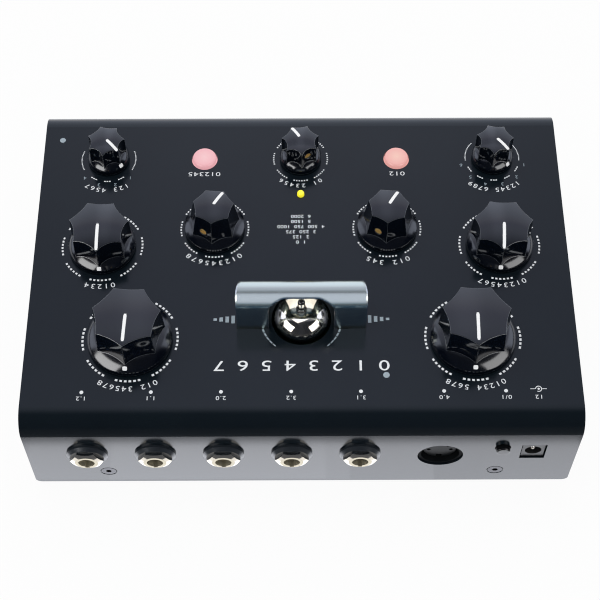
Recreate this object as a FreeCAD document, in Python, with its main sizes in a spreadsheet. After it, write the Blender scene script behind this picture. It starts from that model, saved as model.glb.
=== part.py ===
import FreeCAD, Part

import os
import re

import Sketcher
from FreeCAD import Placement, Rotation, Vector

# A desktop delay unit with a valve: a folded steel case, nine fluted knobs and a rear row of sockets.
# Millimetres. X is to the right of the person who plays it, Y to the rear, Z up from the table.
# The origin is the centre of the case's footprint, on the plane that the feet stand on.

SIZES = {
    # case of folded sheet
    "case_width": 220.0,
    "case_depth": 153.0,
    "case_height": 51.5,
    "sheet": 1.5,
    "bend_radius": 9.0,
    "corner_radius": 2.5,
    "sheet_gap": 0.1,
    "chassis_bend": 2.0,
    "flange_height": 13.5,
    "flange_from_side": 15.0,
    "foot_height": 3.0,
    "foot_radius": 6.5,
    "foot_from_side": 16.0,
    "foot_from_end": 16.5,
    # screws that hold the cover to the chassis
    "cover_screw_from_side": 31.0,
    "cover_screw_rise": 10.0,
    "cover_screw_radius": 1.45,
    "cover_screw_length": 5.0,
    "cover_screw_head_radius": 3.0,
    "cover_screw_head_height": 1.35,
    "cover_screw_socket": 1.1,
    "cover_screw_socket_depth": 1.0,
    "countersink_radius": 3.5,
    "thread_clearance": 0.05,
    # places of the knobs on the panel
    "small_from_side": 28.0,
    "small_from_front": 26.3,
    "medium_x": 35.8,
    "medium_y": -14.6,
    "wide_from_side": 28.0,
    "wide_y": -6.1,
    "large_from_side": 41.7,
    "large_from_rear": 38.7,
    # knobs: heights are from the panel, radii from the knob's axis, ridge radii on the edges between flutes
    "small_skirt_radius": 8.8,
    "small_rim_height": 2.95,
    "small_shoulder": 5.0,
    "small_lip_angle": 66.0,
    "small_ridge_low_radius": 8.0,
    "small_ridge_top_radius": 7.95,
    "small_top_height": 13.2,
    "small_crown": 1.9,
    "small_flute_radius": 5.8,
    "small_screw_height": 9.3,
    "small_pointer_start": 0.8,
    "small_pointer_end": 7.4,
    "medium_skirt_radius": 12.45,
    "medium_rim_height": 3.1,
    "medium_shoulder": 12.0,
    "medium_lip_angle": 44.0,
    "medium_ridge_low_radius": 10.65,
    "medium_ridge_top_radius": 8.72,
    "medium_top_height": 16.5,
    "medium_crown": 1.3,
    "medium_flute_radius": 28.0,
    "medium_screw_height": 8.8,
    "medium_pointer_start": 0.4,
    "medium_pointer_end": 7.9,
    "wide_skirt_radius": 13.8,
    "wide_rim_height": 2.9,
    "wide_shoulder": 7.0,
    "wide_lip_angle": 60.0,
    "wide_ridge_low_radius": 12.7,
    "wide_ridge_top_radius": 12.25,
    "wide_top_height": 15.4,
    "wide_crown": 2.4,
    "wide_flute_radius": 14.6,
    "wide_screw_height": 8.6,
    "wide_pointer_start": 0.4,
    "wide_pointer_end": 11.7,
    "large_skirt_radius": 17.0,
    "large_rim_height": 3.3,
    "large_shoulder": 9.0,
    "large_lip_angle": 54.0,
    "large_ridge_low_radius": 14.5,
    "large_ridge_top_radius": 13.65,
    "large_top_height": 18.6,
    "large_crown": 1.3,
    "large_flute_radius": 28.0,
    "large_screw_height": 9.6,
    "large_pointer_start": -0.3,
    "large_pointer_end": 11.4,
    "ridge_low_height": 5.2,
    "skirt_top_angle": 12.0,
    "ridge_land": 0.12,
    "knob_gap": 0.8,
    "knob_cap": 1.8,
    "knob_recess_radius": 6.6,
    "pointer_radius": 0.8,
    "pointer_rise": 0.4,
    "grub_radius": 1.5,
    "grub_hole_clearance": 0.05,
    "grub_recess": 0.4,
    "grub_slot_width": 0.55,
    "grub_slot_depth": 0.8,
    # spindles, potentiometers and mode switches
    "spindle_radius": 3.0,
    "spindle_clearance": 0.05,
    "spindle_flat": 2.5,
    "spindle_chamfer": 0.5,
    "spindle_tail": 7.0,
    "bush_radius": 3.5,
    "bush_height": 3.8,
    "bush_hole_clearance": 0.15,
    "pot_radius": 8.2,
    "pot_height": 8.5,
    "pot_tab_width": 10.0,
    "pot_tab_reach": 11.0,
    "pot_tab_height": 3.0,
    "switch_radius": 9.6,
    "washer_radius": 5.6,
    "washer_thickness": 0.5,
    "nut_across_flats": 10.0,
    "nut_thickness": 2.0,
    "nut_clearance": 0.05,
    # lit push buttons on the panel
    "button_x": 41.0,
    "button_from_front": 26.4,
    "button_radius": 5.0,
    "button_height": 1.8,
    "button_edge": 1.1,
    "button_clearance": 0.5,
    "button_flange": 1.0,
    "button_flange_thickness": 1.4,
    "button_flange_gap": 0.3,
    "button_stem_radius": 2.0,
    "button_travel": 1.5,
    "button_switch_floor": 0.6,
    "button_switch_spare": 0.4,
    "button_switch_width": 12.0,
    "button_switch_height": 4.4,
    "stem_clearance": 0.1,
    # level lamp
    "lamp_from_front": 44.8,
    "lamp_radius": 1.5,
    "lamp_height": 2.2,
    "lamp_clearance": 0.1,
    "lamp_collar_radius": 1.9,
    "lamp_leg": 0.5,
    "lamp_leg_spacing": 2.54,
    # valve and its socket
    "valve_from_rear": 47.8,
    "valve_radius": 11.15,
    "valve_wall": 0.9,
    "valve_shoulder_radius": 8.2,
    "valve_dome_height": 8.0,
    "valve_tip_height": 14.4,
    "valve_tip_radius": 1.5,
    "valve_tip_flare": 0.7,
    "valve_seat_drop": 34.8,
    "valve_base_radius": 10.0,
    "valve_hole_clearance": 0.9,
    "pin_circle_radius": 5.95,
    "pin_radius": 0.5,
    "pin_length": 6.5,
    "pin_clearance": 0.05,
    "valve_socket_radius": 10.6,
    "valve_socket_height": 8.0,
    "valve_socket_hole": 3.0,
    "anode_width": 6.4,
    "anode_depth": 10.0,
    "anode_height": 22.0,
    "anode_spacing": 7.4,
    "electrode_rise": 6.0,
    "mica_gap": 0.25,
    "mica_thickness": 0.6,
    # hood of bent sheet in front of the valve
    "hood_width": 51.8,
    "hood_from_rear": 43.2,
    "hood_wall_height": 16.2,
    "hood_bend": 5.8,
    "hood_front_angle": 68.0,
    "hood_sheet": 1.2,
    "hood_end_radius": 28.0,
    "hood_end_start": 1.0,
    "hood_opening_width": 26.0,
    "hood_opening_height": 20.4,
    "hood_opening_corner": 7.0,
    "hood_tab_width": 5.0,
    "hood_tab_length": 4.5,
    "hood_tab_x": 16.8,
    "hood_tab_clearance": 0.15,
    # sockets for jack plugs
    "jack_first_x": 85.8,
    "jack_pitch": 27.25,
    "jack_drop": 24.6,
    "jack_bore_radius": 3.25,
    "jack_bush_radius": 4.5,
    "jack_bush_root": 3.0,
    "jack_hole_clearance": 0.15,
    "jack_body_width": 16.0,
    "jack_body_length": 24.0,
    "jack_above_axis": 7.7,
    "jack_notch_width": 1.6,
    "jack_notch_radius": 4.15,
    "jack_back_wall": 1.2,
    "jack_washer_radius": 8.2,
    "jack_washer_shoulder_radius": 6.9,
    "jack_washer_rim": 0.9,
    "jack_washer_height": 2.1,
    "jack_nut_across_flats": 11.7,
    "jack_nut_thickness": 2.0,
    "jack_nut_corner_height": 1.0,
    "jack_nut_clearance": 0.05,
    # round five-pole socket
    "midi_x": 55.5,
    "midi_drop": 27.4,
    "midi_nose_clearance": 0.3,
    "midi_wall": 1.1,
    "midi_nose_recess": 0.8,
    "midi_ring_outer": 7.75,
    "midi_ring_inner": 6.5,
    "midi_ring_depth": 8.5,
    "midi_insert_recess": 1.9,
    "midi_pin_circle": 4.45,
    "midi_pin_radius": 0.8,
    "midi_pin_depth": 7.0,
    "midi_key_width": 2.2,
    "midi_body_width": 21.0,
    "midi_body_depth": 13.0,
    "midi_below_axis": 10.1,
    # power inlet
    "power_inlet_pitch": 12.5,
    "power_inlet_drop": 24.1,
    "power_inlet_width": 9.0,
    "power_inlet_below_axis": 5.5,
    "power_inlet_length": 14.0,
    "power_inlet_gap": 0.5,
    "power_inlet_recess": 0.7,
    "power_inlet_bore": 3.3,
    "power_inlet_depth": 10.0,
    "power_pin_radius": 1.0,
    "power_pin_recess": 0.6,
    # power switch
    "power_button_x": 79.9,
    "power_button_drop": 20.3,
    "power_button_radius": 2.8,
    "power_button_reach": 2.1,
    "power_button_clearance": 0.4,
    "power_button_edge": 0.5,
    "power_button_travel": 1.5,
    "power_button_spare": 1.0,
    "power_stem_radius": 1.5,
    "power_stem_length": 7.0,
    "power_switch_width": 8.4,
    "power_switch_length": 12.0,
    "power_switch_below_axis": 3.5,
    # circuit boards and what joins them
    "board_thickness": 1.6,
    "board_width": 192.0,
    "control_board_from_front": 11.0,
    "control_board_from_rear": 13.0,
    "main_board_past_valve": 4.1,
    "main_board_from_rear": 7.0,
    "valve_board_clearance": 1.45,
    "spacer_radius": 2.5,
    "spacer_bore": 1.35,
    "spacer_clearance": 0.05,
    "spacer_from_side": 4.0,
    "spacer_from_front": 4.0,
    "spacer_pitch": 29.0,
    "board_screw_head_radius": 2.4,
    "board_screw_head_height": 1.5,
    "board_screw_length": 4.8,
    "valve_board_width": 38.0,
    "valve_board_depth": 28.0,
    "valve_spacer_from_side": 3.5,
    "valve_spacer_from_end": 3.5,
    "link_length": 30.0,
    "link_width": 5.0,
    "link_x": 45.0,
    "link_from_front": 6.0,
}

# Lengths that follow from the sizes.
WORKED_OUT = {
    "panel_top": "foot_height + case_height",
    "inside_top": "panel_top - sheet",
    "rear_face": "case_depth / 2",
    "rear_inside": "rear_face - sheet",
    "side_face": "case_width / 2",
    "cover_screw_x": "side_face - cover_screw_from_side",
    "cover_screw_z": "foot_height + cover_screw_rise",
    "foot_x": "side_face - foot_from_side",
    "foot_y": "rear_face - foot_from_end",
    "small_x": "side_face - small_from_side",
    "small_y": "small_from_front - rear_face",
    "wide_x": "side_face - wide_from_side",
    "large_x": "side_face - large_from_side",
    "large_y": "rear_face - large_from_rear",
    "button_y": "button_from_front - rear_face",
    "lamp_y": "lamp_from_front - rear_face",
    "valve_y": "rear_face - valve_from_rear",
    "hood_rear_y": "rear_face - hood_from_rear",
    "wall_top": "inside_top - sheet_gap",
    "chassis_depth": "case_depth - 2 * (sheet + sheet_gap)",
    "chassis_end": "chassis_depth / 2",
    "control_board_top": "inside_top - pot_height",
    "jack_z": "panel_top - jack_drop",
    "main_board_z": "jack_z + jack_above_axis",
    "valve_seat_z": "panel_top - valve_seat_drop",
    "valve_board_z": "valve_seat_z - valve_socket_height - board_thickness",
    "jack_bush_reach": "jack_washer_height + jack_nut_thickness",
    "midi_z": "panel_top - midi_drop",
    "midi_nose_radius": "midi_ring_outer + midi_wall",
    "midi_hole_radius": "midi_nose_radius + midi_nose_clearance",
    "power_inlet_x": "power_button_x + power_inlet_pitch",
    "power_inlet_z": "panel_top - power_inlet_drop",
    "power_button_z": "panel_top - power_button_drop",
    "hood_top_height": "hood_wall_height + hood_bend",
    "hood_centre_y": "hood_rear_y - hood_bend",
    "spindle_hole": "spindle_radius + spindle_clearance",
    "grub_hole": "grub_radius + grub_hole_clearance",
    "button_hole": "button_radius + button_clearance",
    "valve_shoulder_height": "valve_dome_height - valve_shoulder_radius",
    "board_valve_hole": "valve_radius + valve_board_clearance",
    "mica_radius": "valve_radius - valve_wall - mica_gap",
    "main_board_rear": "rear_inside - main_board_from_rear",
    "main_board_front": "valve_y - board_valve_hole - main_board_past_valve",
    "spacer_x": "board_width / 2 - spacer_from_side",
    "spacer_front_y": "main_board_front + spacer_from_front",
    "spacer_rear_y": "spacer_front_y + spacer_pitch",
    "valve_spacer_x": "valve_board_width / 2 - valve_spacer_from_side",
    "valve_spacer_reach": "valve_board_depth / 2 - valve_spacer_from_end",
}

FLUTES = 7
HALF_FLUTE = 180.0 / FLUTES
VALVE_PINS = 9
JACKS = 5

# Each knob: its name, its kind, its side of the panel and the way its pointer looks, in degrees from X.
KNOBS = [
    ("filter_mode", "small", 1, 135.0),
    ("input_level", "small", 0, 300.0),
    ("delay_mode", "small", -1, 135.0),
    ("resonance", "medium", 1, 240.0),
    ("mix", "medium", -1, 240.0),
    ("drive", "wide", 1, 89.0),
    ("feedback", "wide", -1, 87.0),
    ("cutoff", "large", 1, 87.0),
    ("delay_time", "large", -1, 89.0),
]
SWITCHED = ("filter_mode", "delay_mode")

doc = FreeCAD.newDocument("delay_unit")
sheet = doc.addObject("Spreadsheet::Sheet", "Sizes")
for row, (alias, value) in enumerate(SIZES.items(), start=1):
    sheet.set(f"A{row}", alias)
    sheet.set(f"B{row}", str(value))
    sheet.setAlias(f"B{row}", alias)
doc.recompute()

nodes = []


# Formulas and sketches

def formula(text):
    """The text with each name replaced by its cell, or by the formula that it stands for."""
    def swap(match):
        name = match.group()
        if name in SIZES:
            return "Sizes." + name
        if name in WORKED_OUT:
            return "(" + formula(WORKED_OUT[name]) + ")"
        return name
    return re.sub(r"[a-z_][a-z0-9_]*", swap, str(text))


def number(text):
    """The value that a formula has now."""
    return float(sheet.evalExpression(formula(text)))


def bind(thing, **formulas):
    """Set properties of an object by formulas on the sheet."""
    for name, text in formulas.items():
        thing.setExpression(name, formula(text))
    return thing


def put(thing, x="0", y="0", z="0", axis=(0, 0, 1), angle=0.0):
    """Place an object: a fixed turn about an axis, and a position worked out from the sheet."""
    thing.Placement = Placement(Vector(number(x), number(y), number(z)), Rotation(Vector(*axis), angle))
    thing.setExpression("Placement.Base.x", formula(x))
    thing.setExpression("Placement.Base.y", formula(y))
    thing.setExpression("Placement.Base.z", formula(z))
    return thing


def hold(sketch, kind, text, *where):
    """Add one dimension to a sketch and bind it to its formula."""
    index = sketch.addConstraint(Sketcher.Constraint(kind, *where, number(text)))
    sketch.renameConstraint(index, f"held{index}")
    sketch.setExpression(f"Constraints.held{index}", formula(text))


def outline(sketch, corners):
    """Draw a closed outline whose corners are held by formulas.

    A corner is (x, y), or (x, y, centre x, centre y, radius, turn) where an arc starts there.
    The turn is 1 for an arc that goes to the left and -1 for one that goes to the right.
    """
    places = [Vector(number(corner[0]), number(corner[1]), 0) for corner in corners]
    curves = []
    for index, corner in enumerate(corners):
        start = places[index]
        end = places[(index + 1) % len(corners)]
        if len(corner) == 2:
            curves.append((sketch.addGeometry(Part.LineSegment(start, end), False), 1, 2))
            continue
        circle = Part.Circle(Vector(number(corner[2]), number(corner[3]), 0), Vector(0, 0, 1), number(corner[4]))
        if corner[5] > 0:
            arc = Part.ArcOfCircle(circle, circle.parameter(start), circle.parameter(end))
            curves.append((sketch.addGeometry(arc, False), 1, 2))
        else:
            arc = Part.ArcOfCircle(circle, circle.parameter(end), circle.parameter(start))
            curves.append((sketch.addGeometry(arc, False), 2, 1))
        hold(sketch, "Radius", corner[4], curves[-1][0])
    for index, (curve, head, tail) in enumerate(curves):
        after = curves[(index + 1) % len(curves)]
        sketch.addConstraint(Sketcher.Constraint("Coincident", curve, tail, after[0], after[1]))
        hold(sketch, "DistanceX", corners[index][0], -1, 1, curve, head)
        hold(sketch, "DistanceY", corners[index][1], -1, 1, curve, head)


def ring(sketch, x, y, radius):
    """Draw a full circle held by formulas."""
    circle = Part.Circle(Vector(number(x), number(y), 0), Vector(0, 0, 1), number(radius))
    curve = sketch.addGeometry(circle, False)
    hold(sketch, "Radius", radius, curve)
    hold(sketch, "DistanceX", x, -1, 1, curve, 3)
    hold(sketch, "DistanceY", y, -1, 1, curve, 3)


def rectangle(sketch, left, right, low, high):
    """Draw a rectangle held by formulas."""
    outline(sketch, [(left, low), (right, low), (right, high), (left, high)])


def round_rectangle(sketch, half_width, low, high, corner):
    """Draw a rectangle, centred left to right, with rounded upper corners."""
    inner = f"{half_width} - {corner}"
    outline(sketch, [
        (f"-({half_width})", low),
        (half_width, low),
        (half_width, f"{high} - {corner}", inner, f"{high} - {corner}", corner, 1),
        (inner, high),
        (f"-({inner})", high, f"-({inner})", f"{high} - {corner}", corner, 1),
        (f"-({half_width})", f"{high} - {corner}"),
    ])


# Bodies and solids

def new_body(label):
    body = doc.addObject("PartDesign::Body", "Body_" + label)
    body.Label = label
    nodes.append(body)
    return body


def new_sketch(body, plane, offset="0"):
    """A sketch on one of the body's own origin planes, moved along the plane's normal."""
    sketch = body.newObject("Sketcher::SketchObject", "Sketch")
    support = [feature for feature in body.Origin.OriginFeatures if feature.Role == plane][0]
    sketch.AttachmentSupport = [(support, "")]
    sketch.MapMode = "FlatFace"
    sketch.AttachmentOffset = Placement(Vector(0, 0, number(offset)), Rotation())
    sketch.setExpression("AttachmentOffset.Base.z", formula(offset))
    return sketch


def feature(body, kind, sketch, length, both_ways=False, reverse=False):
    """A pad or a pocket of a sketch."""
    made = body.newObject("PartDesign::" + kind, kind)
    made.Profile = sketch
    made.SideType = "Symmetric" if both_ways else "One side"
    made.Reversed = reverse
    made.setExpression("Length", formula(length))
    return made


def turned(body, sketch, kind="Revolution"):
    """A full turn of a sketch about its own vertical axis."""
    made = body.newObject("PartDesign::" + kind, kind)
    made.Profile = sketch
    made.ReferenceAxis = (sketch, ["V_Axis"])
    made.Angle = 360.0
    return made


def primitive(body, kind, **formulas):
    """A primitive added to a body or taken from it."""
    return bind(body.newObject("PartDesign::" + kind, kind), **formulas)


def edges_where(shape, direction, wanted):
    """The names of the straight edges that run along a direction and whose two ends pass a test."""
    names = []
    for index, edge in enumerate(shape.Edges, start=1):
        if len(edge.Vertexes) != 2:
            continue
        start, end = [vertex.Point for vertex in edge.Vertexes]
        along = abs((end - start).normalize().dot(direction)) > 0.999
        if along and wanted(start) and wanted(end):
            names.append(f"Edge{index}")
    return names


def round_edges(body, direction, wanted, radius):
    """Round the edges of a body's last feature that run along a direction and pass a test."""
    doc.recompute()
    last = body.Tip
    made = body.newObject("PartDesign::Fillet", "Fillet")
    made.Base = (last, edges_where(last.Shape, direction, wanted))
    made.setExpression("Radius", formula(radius))
    return made


def near(value, text):
    return abs(value - number(text)) < 0.01


def box(x_size, y_size, z_size):
    return bind(doc.addObject("Part::Box", "Box"), Length=x_size, Width=y_size, Height=z_size)


def cylinder(radius, length):
    return bind(doc.addObject("Part::Cylinder", "Cylinder"), Radius=radius, Height=length)


def cone(low_radius, high_radius, length):
    return bind(doc.addObject("Part::Cone", "Cone"), Radius1=low_radius, Radius2=high_radius, Height=length)


def hexagon(across_flats, length):
    """A six-sided prism with corners along its own X axis."""
    made = doc.addObject("Part::Prism", "Prism")
    made.Polygon = 6
    return bind(made, Circumradius=f"({across_flats}) / 2 / cos(30)", Height=length)


def cut(base, tool):
    made = doc.addObject("Part::Cut", "Cut")
    made.Base = base
    made.Tool = tool
    return made


def fuse(*pieces):
    made = doc.addObject("Part::MultiFuse", "Fusion")
    made.Shapes = list(pieces)
    return made


def common(*pieces):
    made = doc.addObject("Part::MultiCommon", "Common")
    made.Shapes = list(pieces)
    return made


def node(piece, label):
    piece.Label = label
    nodes.append(piece)
    return piece


def group(label, pieces):
    """Identical pieces that share one node, each a solid of its own."""
    made = doc.addObject("Part::Compound", "Group")
    made.Links = list(pieces)
    return node(made, label)


# Places that repeat

def knob_place(kind, side):
    """A knob's place on the panel."""
    return f"{side} * {kind}_x", f"{kind}_y"


def jack_xs():
    return [f"jack_first_x - {index} * jack_pitch" for index in range(JACKS)]


def four_corners(x, y_low, y_high):
    return [(f"{side} * ({x})", y) for side in (-1, 1) for y in (y_low, y_high)]


# Case

def top_cover():
    """The folded sheet that is the front, the panel and the rear, with all their holes."""
    body = new_body("top_cover")
    bend = "bend_radius"
    inner_bend = "bend_radius - sheet"
    straight_y = "rear_face - bend_radius"
    bend_z = "panel_top - bend_radius"
    profile = new_sketch(body, "YZ_Plane")
    outline(profile, [
        ("-(rear_face)", "foot_height"),
        ("-(rear_inside)", "foot_height"),
        ("-(rear_inside)", bend_z, f"-({straight_y})", bend_z, inner_bend, -1),
        (f"-({straight_y})", "inside_top"),
        (straight_y, "inside_top", straight_y, bend_z, inner_bend, -1),
        ("rear_inside", bend_z),
        ("rear_inside", "foot_height"),
        ("rear_face", "foot_height"),
        ("rear_face", bend_z, straight_y, bend_z, bend, 1),
        (straight_y, "panel_top"),
        (f"-({straight_y})", "panel_top", f"-({straight_y})", bend_z, bend, 1),
        ("-(rear_face)", bend_z),
    ])
    feature(body, "Pad", profile, "case_width", both_ways=True)
    round_edges(
        body, Vector(0, 1, 0),
        lambda point: near(abs(point.x), "side_face") and near(point.z, "foot_height"),
        "corner_radius",
    )
    cover_panel_holes(body)
    cover_rear_holes(body)
    for side in (-1, 1):
        for end, turn in ((1, 90.0), (-1, -90.0)):
            sink = primitive(
                body, "SubtractiveCone", Radius1="countersink_radius",
                Radius2="countersink_radius - sheet", Height="sheet",
            )
            put(sink, f"{side} * cover_screw_x", f"{end} * (rear_face)", "cover_screw_z", (1, 0, 0), turn)


def cover_panel_holes(body):
    """Holes in the panel for spindles, buttons, lamp, valve and the hood's tabs."""
    holes = new_sketch(body, "XY_Plane", "inside_top - sheet")
    for name, kind, side, angle in KNOBS:
        ring(holes, *knob_place(kind, side), "bush_radius + bush_hole_clearance")
    for side in (-1, 1):
        ring(holes, f"{side} * button_x", "button_y", "button_hole")
    ring(holes, "0", "lamp_y", "lamp_radius + lamp_clearance")
    ring(holes, "0", "valve_y", "valve_radius + valve_hole_clearance")
    half = "hood_tab_width / 2 + hood_tab_clearance"
    for side in (-1, 1):
        x = f"{side} * hood_tab_x"
        for low, high in (hood_rear_tab_y(), hood_front_tab_y()):
            rectangle(holes, f"{x} - ({half})", f"{x} + ({half})",
                      f"{low} - hood_tab_clearance", f"{high} + hood_tab_clearance")
    feature(body, "Pocket", holes, "3 * sheet", reverse=True)


def cover_rear_holes(body):
    """Holes in the rear sheet for jack sockets, round socket, switch and power inlet."""
    holes = new_sketch(body, "XZ_Plane", "-(rear_inside - sheet)")
    for x in jack_xs():
        ring(holes, x, "jack_z", "jack_bush_radius + jack_hole_clearance")
    ring(holes, "-midi_x", "midi_z", "midi_hole_radius")
    ring(holes, "-power_button_x", "power_button_z", "power_button_radius + power_button_clearance")
    half = "power_inlet_width / 2 + power_inlet_gap"
    rectangle(holes, f"-power_inlet_x - ({half})", f"-power_inlet_x + ({half})",
              "power_inlet_z - power_inlet_below_axis - power_inlet_gap",
              "power_inlet_z + power_inlet_below_axis + power_inlet_gap")
    feature(body, "Pocket", holes, "3 * sheet")


def bottom_chassis():
    """The lower half: a floor, two side walls inside the cover's ends, and two screwed flanges."""
    body = new_body("bottom_chassis")
    half = "side_face"
    inner = "side_face - sheet"
    low = "foot_height + chassis_bend"
    floor_end = "side_face - chassis_bend"
    inner_bend = "chassis_bend - sheet"
    profile = new_sketch(body, "XZ_Plane")
    outline(profile, [
        (f"-({half})", "wall_top"),
        (f"-({half})", low, f"-({floor_end})", low, "chassis_bend", 1),
        (f"-({floor_end})", "foot_height"),
        (floor_end, "foot_height", floor_end, low, "chassis_bend", 1),
        (half, low),
        (half, "wall_top"),
        (inner, "wall_top"),
        (inner, low, floor_end, low, inner_bend, -1),
        (floor_end, "foot_height + sheet"),
        (f"-({floor_end})", "foot_height + sheet", f"-({floor_end})", low, inner_bend, -1),
        (f"-({inner})", low),
        (f"-({inner})", "wall_top"),
    ])
    feature(body, "Pad", profile, "chassis_depth", both_ways=True)
    round_edges(
        body, Vector(1, 0, 0),
        lambda point: near(abs(point.y), "chassis_end") and near(point.z, "wall_top"),
        "bend_radius - sheet - sheet_gap",
    )
    for low_y in ("-(chassis_end)", "chassis_end - sheet"):
        flange = primitive(body, "AdditiveBox", Length="case_width - 2 * flange_from_side", Width="sheet",
                           Height="flange_height")
        put(flange, "flange_from_side - side_face", low_y, "foot_height")
    holes = new_sketch(body, "XZ_Plane")
    for side in (-1, 1):
        ring(holes, f"{side} * cover_screw_x", "cover_screw_z", "cover_screw_radius + thread_clearance")
    feature(body, "Pocket", holes, "case_depth", both_ways=True)


def rubber_feet():
    feet = []
    for x, y in four_corners("foot_x", "-foot_y", "foot_y"):
        feet.append(put(cone("foot_radius - 0.7", "foot_radius", "foot_height"), x, y))
    group("rubber_feet", feet)


def cover_screws():
    """Countersunk screws with a hexagon socket, two at the rear and two at the front."""
    screws = []
    for side in (-1, 1):
        for end, turn in ((1, 90.0), (-1, -90.0)):
            head = cone("cover_screw_head_radius", "cover_screw_radius", "cover_screw_head_height")
            shank = put(cylinder("cover_screw_radius", "cover_screw_length"), z="cover_screw_head_height / 2")
            socket = hexagon("2 * cover_screw_socket", "cover_screw_socket_depth")
            screw = cut(fuse(head, shank), socket)
            put(screw, f"{side} * cover_screw_x", f"{end} * (rear_face - 0.05)", "cover_screw_z", (1, 0, 0), turn)
            screws.append(screw)
    group("cover_screws", screws)


# Knobs and what they turn

def ridge_radius(kind, height):
    """The radius of a knob's ridges at a height, on the straight line that they follow."""
    rise = f"(({height}) - ridge_low_height) / ({kind}_top_height - ridge_low_height)"
    return f"({kind}_ridge_low_radius + ({kind}_ridge_top_radius - {kind}_ridge_low_radius) * {rise})"


def flute_axis(kind, height):
    """How far a flute's cutter stands from the knob's axis, so that neighbours meet at the ridges."""
    ridge = f"({ridge_radius(kind, height)} + ridge_land)"
    return (f"({ridge} * cos({HALF_FLUTE})"
            f" + sqrt({kind}_flute_radius ^ 2 - ({ridge} * sin({HALF_FLUTE})) ^ 2))")


def fluted_knob(name, kind, side, angle):
    """One knob: a fluted body with a domed top on a round skirt, hollow below for the nut."""
    body = new_body(f"{name}_knob")
    top = f"{kind}_top_height"
    crown = f"{kind}_crown"
    ridge_top = f"{kind}_ridge_top_radius"
    dome = f"(({ridge_top} ^ 2 + {crown} ^ 2) / (2 * {crown}))"
    dome_centre = f"({top} + {crown} - {dome})"

    core = new_sketch(body, "XZ_Plane")
    outline(core, [
        ("0", "knob_gap"),
        (ridge_radius(kind, "knob_gap"), "knob_gap"),
        (ridge_top, top, "0", dome_centre, dome, 1),
        ("0", f"{top} + {crown}"),
    ])
    turned(body, core)

    low_axis = flute_axis(kind, "knob_gap")
    top_axis = flute_axis(kind, top)
    flute = primitive(body, "SubtractiveCylinder", Radius=f"{kind}_flute_radius", Height=f"2 * {top}")
    lean = f"atan(({low_axis} - {top_axis}) / ({top} - knob_gap))"
    put(flute, f"-{low_axis}", "0", "knob_gap", (0, 1, 0), 1.0)
    flute.setExpression("Placement.Rotation.Angle", formula(lean))
    doc.recompute()
    around = body.newObject("PartDesign::PolarPattern", "Flutes")
    around.Originals = [flute]
    around.Axis = ([f for f in body.Origin.OriginFeatures if f.Role == "Z_Axis"][0], [""])
    around.Angle = 360.0
    around.Occurrences = FLUTES
    body.Tip = around

    skirt = new_sketch(body, "XZ_Plane")
    radius = f"{kind}_skirt_radius"
    rim = f"{kind}_rim_height"
    shoulder = f"{kind}_shoulder"
    lip = f"{kind}_lip_angle"
    centre_x = f"({radius} - {shoulder} * sin({lip}))"
    centre_z = f"({rim} - {shoulder} * cos({lip}))"
    inner_z = f"{centre_z} + {shoulder} * cos(skirt_top_angle)"
    outline(skirt, [
        ("0", "knob_gap"),
        (radius, "knob_gap"),
        (radius, rim, centre_x, centre_z, shoulder, 1),
        (f"{centre_x} + {shoulder} * sin(skirt_top_angle)", inner_z),
        ("0", inner_z),
    ])
    turned(body, skirt)

    recess = primitive(body, "SubtractiveCylinder", Radius="knob_recess_radius", Height="bush_height + 0.7")
    bore = primitive(body, "SubtractiveCylinder", Radius="spindle_hole", Height=f"{top} - knob_cap")
    hole = primitive(body, "SubtractiveCylinder", Radius="grub_hole", Height=radius)
    put(hole, "-spindle_radius / 2", "0", f"{kind}_screw_height", (0, 1, 0), -90.0)
    pointer_groove(body, kind, dome, dome_centre)
    place_on_panel(body, kind, side, angle)


def pointer_groove(body, kind, dome, dome_centre):
    """The channel for the white pointer, which follows the domed top from near the axis outwards."""
    reach = number(f"{dome} + pointer_rise")
    start = number(f"asin({kind}_pointer_start / {dome})")
    end = number(f"asin({kind}_pointer_end / {dome})")
    groove = primitive(body, "SubtractiveTorus", Radius1=f"{dome} + pointer_rise", Radius2="pointer_radius")
    groove.Angle3 = end - start
    along = Rotation(Vector(0, 1, 0), start)
    up = along.multVec(Vector(0, 0, 1))
    ahead = along.multVec(Vector(1, 0, 0))
    groove.Placement = Placement(Vector(0, 0, number(dome_centre)), Rotation(up, ahead, Vector(0, 1, 0), "ZXY"))
    groove.setExpression("Placement.Base.z", formula(dome_centre))


def place_on_panel(piece, kind, side, angle):
    """Stand a knob's piece on the panel, turned to where its pointer looks."""
    x, y = knob_place(kind, side)
    return put(piece, x, y, "panel_top", (0, 0, 1), angle)


def spindle(name, kind, side, angle):
    """The shaft that a knob turns, with a flat for the grub screw."""
    tail = "sheet + spindle_tail"
    rod_top = f"({kind}_top_height - knob_cap - 0.4)"
    rod = put(cylinder("spindle_radius", f"{tail} + {rod_top} - spindle_chamfer"), z=f"-({tail})")
    tip = cone("spindle_radius", "spindle_radius - spindle_chamfer", "spindle_chamfer")
    put(tip, z=f"{rod_top} - spindle_chamfer")
    flat = box("spindle_radius", "2 * spindle_radius", f"{kind}_top_height")
    put(flat, "-spindle_flat - spindle_radius", "-spindle_radius", "bush_height + 1")
    place_on_panel(node(cut(fuse(rod, tip), flat), f"{name}_spindle"), kind, side, angle)


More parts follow.
